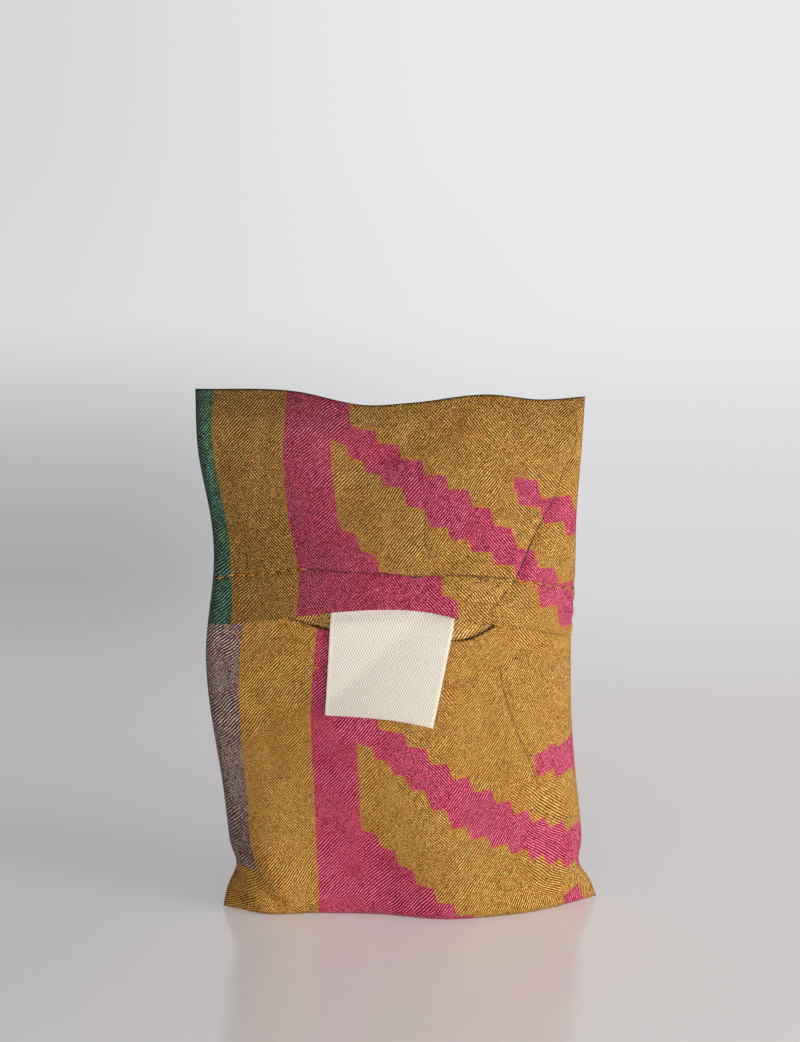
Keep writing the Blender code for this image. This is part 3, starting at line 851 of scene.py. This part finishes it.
def make_neck(material, shift):
    """The folded bag's outermost cloth, which shows just behind the mouth on both sides of the label."""
    acrosses = np.linspace(NECK_ACROSS[0], NECK_ACROSS[1], NECK_COLUMNS)
    rises = np.linspace(-NECK_BELOW, NECK_ABOVE, NECK_ROWS)
    points = np.zeros((len(acrosses), len(rises), 3))
    for i, across in enumerate(acrosses):
        x = across * POUCH_WIDTH / 2
        edge = float(mouth_height(across))
        for j, rise in enumerate(rises):
            point, normal = front_place(x + shift[0], edge + rise, shift)
            points[i, j] = point - normal * (NECK_INSIDE + NECK_FOLD * math.sin(across * 9 + rise * 160))
    x, _, z = np.moveaxis(points * 1000, -1, 0)
    obj = patch("neck_cloth", points, material, "cloth", x * 0.94 + z * 0.3, z, NECK_THICKNESS)
    flat = [np.linalg.norm(np.diff(points, axis=k), axis=-1).sum(axis=k).mean() for k in (0, 1)]
    return obj, tuple(float(side) for side in flat)


# Stitches


STITCH_LENGTH = 0.0026
STITCH_RADIUS = 0.00021
STITCH_SPACING = 3.55


def stitch_row(name, panel, stitches, material, us):
    """A row of stitches on a panel: each is a short thread that dips into the cloth at its ends."""
    bm = bmesh.new()
    for u in us:
        places = [u + d * 1000 for d in np.linspace(-STITCH_LENGTH / 2, STITCH_LENGTH / 2, 7)]
        spots = [sample(panel, place, float(stitch_share(stitches, place))) for place in places]
        rings = []
        for k, (point, normal) in enumerate(spots):
            t = k / 6
            bow = math.sin(math.pi * t)
            centre = Vector(point) + Vector(normal) * (0.0002 * bow - 0.00004)
            ahead = Vector(spots[min(k + 1, 6)][0]) - Vector(spots[max(k - 1, 0)][0])
            out = Vector(normal)
            side = ahead.cross(out).normalized()
            size = STITCH_RADIUS * (0.45 + 0.55 * bow)
            ring = [
                bm.verts.new(centre + (side * math.cos(a) + out * math.sin(a)) * size)
                for a in np.linspace(0, 2 * math.pi, 9)[:-1]
            ]
            rings.append(ring)
        for a, b in zip(rings, rings[1:]):
            for n in range(8):
                bm.faces.new((a[n], a[(n + 1) % 8], b[(n + 1) % 8], b[n]))
        bm.faces.new(rings[0][::-1])
        bm.faces.new(rings[-1])
    bmesh.ops.recalc_face_normals(bm, faces=bm.faces)
    obj = new_object(name, [], [], material)
    bm.to_mesh(obj.data)
    bm.free()
    obj.data.shade_smooth()
    return obj


def sample(panel, u, share):
    """A panel's point and outward normal at a place, read from its finished grid."""
    i, fi = between(panel.u[:, 0], u)
    grids = (panel.points, panel.normals)
    result = []
    for column in (i, i + 1):
        j, fj = between(panel.shares[column], share)
        result.append([grid[column, j] * (1 - fj) + grid[column, j + 1] * fj for grid in grids])
    point, normal = [a * (1 - fi) + b * fi for a, b in zip(*result)]
    return point, normal / np.linalg.norm(normal)


def between(values, value):
    """The number of the last of rising values before a value, and the share of the way to the next."""
    place = float(np.interp(value, values, np.arange(len(values))))
    number = min(int(place), len(values) - 2)
    return number, place - number


# Folded bag and handles


def soften(name, node, material, rumples):
    """The folded cloth of a node as it looks: the solid's layers, finer and creased."""
    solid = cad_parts[node]
    mesh = solid.data.copy()
    obj = bpy.data.objects.new(name, mesh)
    bpy.context.scene.collection.objects.link(obj)
    bm = bmesh.new()
    bm.from_mesh(mesh)
    bmesh.ops.remove_doubles(bm, verts=bm.verts, dist=0.00002)
    bmesh.ops.dissolve_limit(bm, angle_limit=math.radians(1), verts=bm.verts, edges=bm.edges)
    long = [e for e in bm.edges if e.calc_length() > 0.004]
    bmesh.ops.subdivide_edges(bm, edges=long, cuts=2, use_grid_fill=True)
    bmesh.ops.triangulate(bm, faces=bm.faces)
    bm.normal_update()
    for vertex in bm.verts:
        place = vertex.co
        wave = noise.noise(Vector((place.x * 60, place.y * 160, place.z * 90)))
        vertex.co = place - vertex.normal * (rumples * (0.5 + 0.5 * wave))
    uv = bm.loops.layers.uv.new("cloth")
    for face in bm.faces:
        for loop in face.loops:
            loop[uv].uv = (loop.vert.co.x * 1000, loop.vert.co.z * 1000 + loop.vert.co.y * 600)
    bm.to_mesh(mesh)
    bm.free()
    mesh.materials.clear()
    mesh.materials.append(material)
    mesh.shade_smooth()
    return obj


# Materials: a small set of helpers that build a node tree from expressions

RELIEF = 0.0001


class Nodes:
    """Builds shader nodes as expressions. A value is a socket or a number."""

    def __init__(self, name):
        self.material = bpy.data.materials.new(name)
        self.material.use_nodes = True
        self.tree = self.material.node_tree
        self.shader = self.tree.nodes["Principled BSDF"]

    def put(self, socket, value):
        if isinstance(value, bpy.types.NodeSocket):
            self.tree.links.new(value, socket)
        else:
            socket.default_value = value

    def new(self, kind, *values):
        """A new node with the values in its first sockets."""
        node = self.tree.nodes.new("ShaderNode" + kind)
        for socket, value in zip(node.inputs, values):
            self.put(socket, value)
        return node

    def math(self, operation, *values):
        node = self.new("Math", *values)
        node.operation = operation
        return node.outputs[0]

    def add(self, a, b):
        return self.math("ADD", a, b)

    def subtract(self, a, b):
        return self.math("SUBTRACT", a, b)

    def times(self, a, b):
        return self.math("MULTIPLY", a, b)

    def least(self, a, b):
        return self.math("MINIMUM", a, b)

    def most(self, a, b):
        return self.math("MAXIMUM", a, b)

    def size(self, value):
        return self.math("ABSOLUTE", value)

    def sine(self, value, wavelength):
        return self.math("SINE", self.times(value, 2 * math.pi / wavelength))

    def step(self, value, edge):
        """1 where value is over edge."""
        return self.math("GREATER_THAN", value, edge)

    def ramp(self, value, low, high, to_low=0.0, to_high=1.0):
        node = self.new("MapRange", value, low, high, to_low, to_high)
        node.interpolation_type = "SMOOTHSTEP"
        return node.outputs[0]

    def uv(self, name):
        node = self.new("UVMap")
        node.uv_map = name
        return self.split(node.outputs[0])[:2]

    def attribute(self, name):
        node = self.new("Attribute")
        node.attribute_name = name
        return self.split(node.outputs["Vector"])

    def place(self):
        """The place on the object: x, y and z in metres."""
        return self.split(self.new("TexCoord").outputs["Object"])

    def split(self, vector):
        return tuple(self.new("SeparateXYZ", vector).outputs)

    def noise(self, x, y, scale=1.0, detail=2.0, z=0.0):
        node = self.new("TexNoise", self.new("CombineXYZ", x, y, z).outputs[0])
        node.inputs["Scale"].default_value = scale
        node.inputs["Detail"].default_value = detail
        return node.outputs[0]

    def stretched(self, x, y, over_x, over_y, detail, z=0.0):
        """Noise with its own scale each way."""
        return self.noise(self.times(x, over_x), self.times(y, over_y), 1.0, detail, z)

    def mix(self, factor, a, b):
        node = self.new("Mix", factor)
        node.data_type = "RGBA"
        for socket, value in ((node.inputs[6], a), (node.inputs[7], b)):
            self.put(socket, value if isinstance(value, bpy.types.NodeSocket) else (*value, 1.0))
        return node.outputs[2]

    def finish(self, colour, roughness, height, strength):
        """Puts colour, roughness and a fine relief on the shader, and gives the material."""
        self.put(self.shader.inputs["Base Color"], colour)
        self.put(self.shader.inputs["Roughness"], roughness)
        node = self.new("Bump")
        node.inputs["Strength"].default_value = strength
        node.inputs["Distance"].default_value = RELIEF
        self.put(node.inputs["Height"], height)
        self.put(self.shader.inputs["Normal"], node.outputs[0])
        return self.material


def from_srgb(red, green, blue):
    """Linear values of a colour given as 0 to 255."""
    values = []
    for part in (red, green, blue):
        c = part / 255
        values.append(c / 12.92 if c <= 0.04045 else ((c + 0.055) / 1.055) ** 2.4)
    return tuple(values)


# Each yarn colour is a dark and a bright tone, and a pale painted highlight for the light caught on its
# threads
GOLD = (from_srgb(26, 10, 1), from_srgb(195, 132, 28), from_srgb(255, 218, 126))
PINK = (from_srgb(44, 0, 10), from_srgb(218, 16, 78), from_srgb(255, 150, 184))
GREEN = (from_srgb(2, 16, 10), from_srgb(18, 106, 78), from_srgb(150, 214, 188))
GREY = (from_srgb(20, 10, 8), from_srgb(124, 86, 76), from_srgb(240, 218, 208))
# Brighter gold tones for the folded bag: painted light against the shade inside the mouth
INSIDE_GOLD_PAINTED_LIGHT = (from_srgb(60, 26, 6), from_srgb(236, 170, 60), from_srgb(255, 236, 170))
OUTLINE = from_srgb(206, 146, 40)
RUST = from_srgb(160, 76, 10)
ORANGE = from_srgb(224, 138, 40)
# Tone of the painted shade along creases and stitch grooves
CREASE_SHADE = from_srgb(58, 22, 8)
# Tone of painted shade, and how much of it lies over the left of the flap
SHADE = (0.02, 0.008, 0.0)
FLAP_PAINTED_SHADE = 0.46
TWILL_ACROSS = 0.99
TWILL_ALONG = 1.14
TWILL_STRENGTH = 0.88
THREAD_STRENGTH = 1.4
GRAIN_STRENGTH = 2.2
PATCH_STRENGTH = 0.40


def weave(n, u, w):
    """Lightness of a twill weave at a place in millimetres, from about 0 to 1, and its height."""
    drift = n.times(n.subtract(n.noise(u, w, 0.08, 1.0), 0.5), 3.0)
    across = n.times(n.add(u, drift), 2 * math.pi / TWILL_ACROSS)
    along = n.times(w, 2 * math.pi / TWILL_ALONG)
    rising = n.math("SINE", n.add(across, along))
    falling = n.math("SINE", n.subtract(across, along))
    turned = n.ramp(n.noise(u, w, 0.035, 1.0, 41.0), 0.44, 0.60, 0.15, 0.75)
    height = n.add(n.times(rising, n.subtract(1.0, turned)), n.times(falling, turned))
    warp = n.stretched(u, w, 2.8, 0.5, 1.0)
    weft = n.stretched(u, w, 0.5, 2.8, 1.0, 5.0)
    threads = n.subtract(n.add(warp, weft), 1.0)
    grain = n.subtract(n.stretched(u, w, 2.4, 2.4, 1.0, 9.0), 0.5)
    patch = n.subtract(n.noise(u, w, 0.16, 3.0, 13.0), 0.5)
    broken = n.ramp(n.stretched(u, w, 1.5, 1.5, 1.0, 17.0), 0.32, 0.66, 0.5, 1.5)
    height = n.times(n.times(height, TWILL_STRENGTH), broken)
    light = n.add(height, n.add(n.times(threads, THREAD_STRENGTH), n.times(grain, GRAIN_STRENGTH)))
    light = n.add(n.add(light, n.times(patch, PATCH_STRENGTH)), 0.5)
    return light, height


def yarn(n, tones, light):
    """A yarn colour at a lightness from 0 to 1."""
    dark, bright, painted_shine = tones
    body = n.mix(n.ramp(light, -0.15, 1.05), dark, bright)
    # Painted highlight: the lightest places of the weave turn towards the pale tone
    return n.mix(n.ramp(light, 0.70, 1.45, 0.0, 0.85), body, painted_shine)


def gold_cloth(n, u, w, light, tones=GOLD):
    """Gold yarn with rusty patches and small orange flecks."""
    gold = yarn(n, tones, light)
    fleck = n.stretched(u, w, 0.8, 1.1, 4.0, 21.0)
    patch = n.noise(u, w, 0.10, 2.0, 31.0)
    rust = n.times(n.ramp(fleck, 0.50, 0.66), n.ramp(patch, 0.35, 0.65, 0.15, 0.75))
    gold = n.mix(rust, gold, RUST)
    spot = n.stretched(u, w, 1.9, 1.3, 2.0, 33.0)
    return n.mix(n.times(n.ramp(spot, 0.58, 0.68), 0.55), gold, ORANGE)


def finish_cloth(n, colour, light, height):
    n.shader.inputs["Specular IOR Level"].default_value = 0.25
    n.shader.inputs["Sheen Weight"].default_value = 0.04
    n.shader.inputs["Sheen Roughness"].default_value = 0.4
    return n.finish(colour, n.ramp(light, 0.0, 1.2, 0.7, 0.45), n.add(n.times(light, 0.5), height), 0.6)


def past_edge(n, across, along, tilt):
    """Distance in millimetres from a stepped edge, positive after it, from the steps passed."""
    step = n.math("FLOOR", across)
    fall = n.times(n.subtract(n.subtract(across, step), 0.5), tilt)
    past = n.times(n.subtract(n.subtract(along, step), fall), STEP_ALONG)
    riser = n.math("FLOOR", n.add(across, 0.5))
    aside = n.times(n.size(n.subtract(across, riser)), STEP_ACROSS)
    from_middle = n.size(n.add(n.subtract(along, riser), 0.5))
    beyond = n.times(n.subtract(n.add(from_middle, n.times(tilt, 0.5)), 0.5), STEP_ALONG)
    nearest = n.least(n.size(past), n.most(aside, beyond))
    return n.times(n.math("SIGN", past), nearest)


def sari_material():
    """The pouch's cloth: side stripe, gold ground, the stepped pink parts outlined in yellow, painted shade
    lines along the creases and stitch grooves, and painted shade over the flap's left and top.
    """
    n = Nodes("sari_weave")
    u, w = n.uv("cloth")
    from_pink, from_stripe = n.uv("stripes")
    for k in range(PART_COUNT):
        across, along, start = n.attribute(f"stair_{2 * k}")
        foot_across, foot_along, tilt = n.attribute(f"stair_{2 * k + 1}")
        below_foot = past_edge(n, foot_across, foot_along, tilt)
        part = n.least(n.least(past_edge(n, across, along, tilt), start), n.times(below_foot, -1.0))
        from_pink = n.most(from_pink, part)
    wobble = n.times(n.subtract(n.noise(u, w, 1.6, 1.0, 3.0), 0.5), 0.4)
    from_pink = n.add(from_pink, wobble)
    from_stripe = n.add(from_stripe, wobble)
    light, height = weave(n, u, w)
    colour = n.mix(n.step(from_pink, 0.0), gold_cloth(n, u, w, light), yarn(n, PINK, light))
    side = n.mix(n.step(w, STRIPE_TURNS_GREEN), yarn(n, GREY, light), yarn(n, GREEN, light))
    colour = n.mix(n.step(from_stripe, 0.0), colour, side)
    nearest = n.least(n.size(from_pink), n.size(from_stripe))
    edge = n.ramp(nearest, 0.10, 0.36, 0.8, 0.0)
    colour = n.mix(n.times(edge, n.ramp(light, -0.2, 0.9, 0.15, 1.0)), colour, OUTLINE)
    # Painted shade: thin dark lines along the creases and stitch grooves, which also dip the relief
    distance, shade_strength = n.uv("creases")
    shake = n.times(n.subtract(n.noise(u, w, 0.7, 2.0, 51.0), 0.5), 0.5)
    distance = n.size(n.add(distance, shake))
    broken = n.ramp(n.noise(u, w, 0.35, 1.0, 61.0), 0.3, 0.55, 0.35, 1.0)
    crease_shade_and_dip = n.times(n.times(shade_strength, n.ramp(distance, 0.08, 0.55, 1.0, 0.0)), broken)
    colour = n.mix(n.times(crease_shade_and_dip, 0.85), colour, CREASE_SHADE)
    # Painted shade: the flap darkens towards its left, and towards its top just below the top fold
    on_flap = n.ramp(w, FOLD - 6, FOLD + 2)
    painted_flap_shade = n.times(on_flap, n.ramp(u, -58, 34, FLAP_PAINTED_SHADE, 0.04))
    painted_top_shade = n.times(on_flap, n.ramp(w, FOLD + 4, FOLD + 16, 0.18, 0.0))
    colour = n.mix(n.add(painted_flap_shade, painted_top_shade), colour, SHADE)
    return finish_cloth(n, colour, light, n.subtract(height, n.times(crease_shade_and_dip, 1.5)))


def inner_material():
    """The folded bag's cloth: the gold ground in brighter tones, painted light against the shade of the
    mouth.
    """
    n = Nodes("sari_inside")
    u, w = n.uv("cloth")
    light, height = weave(n, u, w)
    return finish_cloth(n, gold_cloth(n, u, w, light, INSIDE_GOLD_PAINTED_LIGHT), light, height)


# The tape's basket weave: twice a row and one cell, in millimetres
TAPE_ROW = 1.5
TAPE_CELL = 0.92
TAPE_HOLLOW = from_srgb(192, 180, 160)
TAPE_RAISED = from_srgb(255, 254, 244)
TAPE_AGED = from_srgb(214, 200, 178)
TAPE_SELVEDGE = from_srgb(246, 240, 228)
TAPE_SHADE = from_srgb(90, 74, 58)


def tape_material():
    """Cream cotton tape: a basket weave, a paler selvedge at each side, and painted shade over its lower
    right half.
    """
    n = Nodes("cotton_tape")
    u, v = n.uv("tape")
    wave = n.noise(u, v, 0.3, 2.0)
    rib = n.sine(n.add(v, n.times(wave, 0.5)), TAPE_ROW)
    cross = n.sine(n.add(u, n.times(n.sine(v, 2 * TAPE_ROW), 0.12)), TAPE_CELL)
    cell = n.add(n.times(n.times(rib, cross), 0.42), 0.5)
    edge = n.ramp(n.size(u), LABEL_WIDTH * 500 - 1.5, LABEL_WIDTH * 500 - 0.8)
    aged = n.ramp(n.noise(u, v, 0.9, 3.0, 4.0), 0.4, 0.7)
    cotton = n.mix(n.ramp(cell, 0.15, 0.85), TAPE_HOLLOW, TAPE_RAISED)
    cotton = n.mix(n.times(aged, 0.3), cotton, TAPE_AGED)
    cotton = n.mix(n.times(edge, 0.55), cotton, TAPE_SELVEDGE)
    # Painted shade: the tape darkens towards TAPE_SHADE beyond a diagonal across its lower right
    turned = n.ramp(n.add(n.add(u, v), n.times(wave, 3.0)), 10.5, 18.0, 0.0, 0.15)
    cotton = n.mix(turned, cotton, TAPE_SHADE)
    n.shader.inputs["Sheen Weight"].default_value = 0.15
    return n.finish(cotton, 0.85, n.add(cell, n.times(edge, 0.5)), 0.8)


def thread_material():
    """Orange sewing thread, with the twist of its plies."""
    n = Nodes("orange_thread")
    x, _, z = n.place()
    ply = n.sine(n.add(x, n.times(z, 0.8)), 0.00045)
    colour = n.mix(n.ramp(ply, -0.8, 0.9), from_srgb(176, 98, 16), from_srgb(246, 176, 60))
    return n.finish(colour, 0.45, ply, 0.5)


def floor_material():
    """A pale, faintly glossy floor that turns into a glowing backdrop behind the object, both with painted
    shade: darker on the left than on the right, with a painted shadow low on the backdrop's left.
    """
    n = Nodes("pale_sweep")
    x, y, _ = n.place()
    grain = n.times(n.subtract(n.noise(x, y, 3.0, 2.0), 0.5), 0.05)
    # Painted shade: the floor's own colour is darker on the left than on the right
    side = n.add(n.ramp(x, -0.35, 0.35), grain)
    n.put(n.shader.inputs["Base Color"], n.mix(side, FLOOR_LEFT, FLOOR_RIGHT))
    n.shader.inputs["Roughness"].default_value = 0.20
    n.shader.inputs["Specular IOR Level"].default_value = 1.0

    path = n.new("LightPath")
    seen = n.most(path.outputs["Is Camera Ray"], path.outputs["Is Glossy Ray"])
    # Painted shade in the glow: darker on the left than on the right, with a painted shadow low on the
    # backdrop's left
    front = n.mix(n.ramp(x, -0.12, 0.12), FRONT_LEFT, FRONT_RIGHT)
    low = n.mix(n.ramp(x, -0.14, 0.14), BACKDROP_LOW_LEFT, BACKDROP_LOW_RIGHT)
    top = n.mix(n.ramp(x, -0.45, 0.35), BACKDROP_TOP_LEFT, BACKDROP_TOP_RIGHT)
    backdrop = n.mix(n.ramp(y, 0.40, 1.35), n.mix(n.ramp(y, 0.12, 0.45), front, low), top)
    glow = n.new("Emission", backdrop).outputs[0]
    base = n.new("Emission", front, n.times(seen, FLOOR_GLOW)).outputs[0]
    floor = n.new("AddShader", n.shader.outputs[0], base).outputs[0]
    far = n.times(seen, n.ramp(y, BACKDROP_START, BACKDROP_FULL))
    blend = n.new("MixShader", far, floor, glow).outputs[0]
    n.put(n.tree.nodes["Material Output"].inputs["Surface"], blend)
    return n.material


# Stage, light and camera
# Tones of floor and backdrop: their left-to-right grading is painted shade, and the dark BACKDROP_LOW_LEFT is
# a painted shadow
FLOOR_LEFT = from_srgb(214, 212, 214)
FLOOR_RIGHT = from_srgb(224, 219, 220)
BACKDROP_LOW_LEFT = from_srgb(169, 168, 170)
BACKDROP_LOW_RIGHT = from_srgb(216, 216, 218)
BACKDROP_TOP_LEFT = from_srgb(215, 215, 217)
BACKDROP_TOP_RIGHT = from_srgb(232, 233, 233)
FRONT_LEFT = from_srgb(190, 187, 188)
FRONT_RIGHT = from_srgb(212, 207, 206)
FLOOR_GLOW = 0.40
BACKDROP_START = 0.05
BACKDROP_FULL = 0.45
WORLD_COLOUR = (0.97, 0.98, 1.0)
WORLD_LIGHT = 0.12
WORLD_SEEN = from_srgb(226, 227, 228)

# A large soft window on the right, a weak fill in front and a low bounce off the floor:
# name, place, what it is aimed at, width and height, power and colour
LAMPS = (
    ("window", (1.40, -0.80, 0.14), (0, 0, 0.06), (1.0, 0.7), 37, (1.0, 0.985, 0.96)),
    ("fill", (-0.3, -1.4, 0.10), (0, 0, 0.04), (1.0, 0.2), 1.0, (1.0, 0.97, 0.94)),
    ("bounce", (-0.02, -0.42, 0.012), (-0.02, 0, 0.02), (0.6, 0.16), 1.7, (1.0, 0.96, 0.92)),
)


def make_sweep(material):
    """A floor that curves up into a wall far behind the object."""
    wide, near, far, radius, tall = 4.0, -2.0, 2.6, 1.2, 3.5
    turn = np.linspace(0, math.pi / 2, 17)
    section = [(near, 0.0)]
    section += [(far + radius * math.sin(t), radius * (1 - math.cos(t))) for t in turn]
    section.append((far + radius, tall))
    points = [(x, y, z) for x in (-wide, wide) for y, z in section]
    count = len(section)
    faces = [(k, k + count, k + count + 1, k + 1) for k in range(count - 1)]
    sweep = new_object("sweep", points, faces, material)


def area_light(name, place, aim, size, power, colour):
    data = bpy.data.lights.new(name, "AREA")
    data.shape = "RECTANGLE"
    data.size, data.size_y = size
    data.energy = power
    data.color = colour
    lamp = bpy.data.objects.new(name, data)
    lamp.location = place
    lamp.rotation_euler = (Vector(aim) - Vector(place)).to_track_quat("-Z", "Y").to_euler()
    bpy.context.scene.collection.objects.link(lamp)


def light_scene():
    for lamp in LAMPS:
        area_light(*lamp)
    world = bpy.data.worlds.new("studio")
    bpy.context.scene.world = world
    world.use_nodes = True
    background = world.node_tree.nodes["Background"]
    background.inputs[0].default_value = (*WORLD_COLOUR, 1)
    background.inputs[1].default_value = WORLD_LIGHT
    nodes, links = world.node_tree.nodes, world.node_tree.links

    # What the camera sees past the sweep's ends is pale and lights nothing
    pale = nodes.new("ShaderNodeBackground")
    pale.inputs[0].default_value = (*WORLD_SEEN, 1)
    seen = nodes.new("ShaderNodeLightPath")
    choice = nodes.new("ShaderNodeMixShader")
    links.new(seen.outputs["Is Camera Ray"], choice.inputs[0])
    links.new(background.outputs[0], choice.inputs[1])
    links.new(pale.outputs[0], choice.inputs[2])
    links.new(choice.outputs[0], nodes["World Output"].inputs[0])


def make_camera():
    data = bpy.data.cameras.new("camera")
    data.lens = LENS
    data.sensor_width = SENSOR
    camera = bpy.data.objects.new("camera", data)
    azimuth, elevation = math.radians(CAMERA_AZIMUTH), math.radians(CAMERA_ELEVATION)
    level = math.cos(elevation)
    back = Vector((math.sin(azimuth) * level, -math.cos(azimuth) * level, math.sin(elevation)))
    right = Vector((math.cos(azimuth), math.sin(azimuth), 0))
    up = back.cross(right)
    pixel = CAMERA_DISTANCE * SENSOR / LENS / LONG_SIDE
    aim = LOOKED_AT + up * (LOOKED_AT_DOWN * pixel) - right * (LOOKED_AT_RIGHT * pixel)
    camera.location = LOOKED_AT + back * CAMERA_DISTANCE
    camera.rotation_euler = (aim - camera.location).to_track_quat("-Z", "Y").to_euler()
    bpy.context.scene.collection.objects.link(camera)
    bpy.context.scene.camera = camera


def main():
    bpy.context.scene.view_settings.view_transform = "Standard"
    sari = sari_material()
    inside = inner_material()
    tape = tape_material()
    thread = thread_material()

    panels = make_panels()
    shift = place_in_frame(panels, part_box("pouch"))
    for panel in panels:
        panel.points = panel.points + shift
        dress(panel)
        panel.find_normals()
    lower, flap, back = panels

    pouch = make_pouch(lower, flap, back, sari)
    label = make_label(tape, shift)
    flap_us = [u for u in np.arange(-61, 62, STITCH_SPACING) if not -30 < u < 41]
    flap_stitches = stitch_row("flap_stitches", flap, FLAP_STITCHES, thread, flap_us)
    mouth_us = np.arange(-58, 60, STITCH_SPACING)
    mouth_stitches = stitch_row("mouth_stitches", lower, MOUTH_STITCHES, thread, mouth_us)
    neck, neck_size = make_neck(inside, shift)
    body = soften("folded_bag", "bag_body", inside, 0.0005)
    straps = [soften("folded_" + node, node, inside, 0.0002) for node in ("handle_front", "handle_back")]

    for piece, node, slot in (
        (pouch, "pouch", "sari_cloth"),
        (label, "label", "label_tape"),
        (body, "bag_body", "sari_cloth"),
        (straps[0], "handle_front", "sari_cloth"),
        (straps[1], "handle_back", "sari_cloth"),
        (flap_stitches, None, "sari_cloth"),
        (mouth_stitches, None, "sari_cloth"),
        (neck, None, "sari_cloth"),
    ):
        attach(piece, "root")
        if node:
            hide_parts(node)

    make_sweep(floor_material())
    light_scene()
    make_camera()


main()
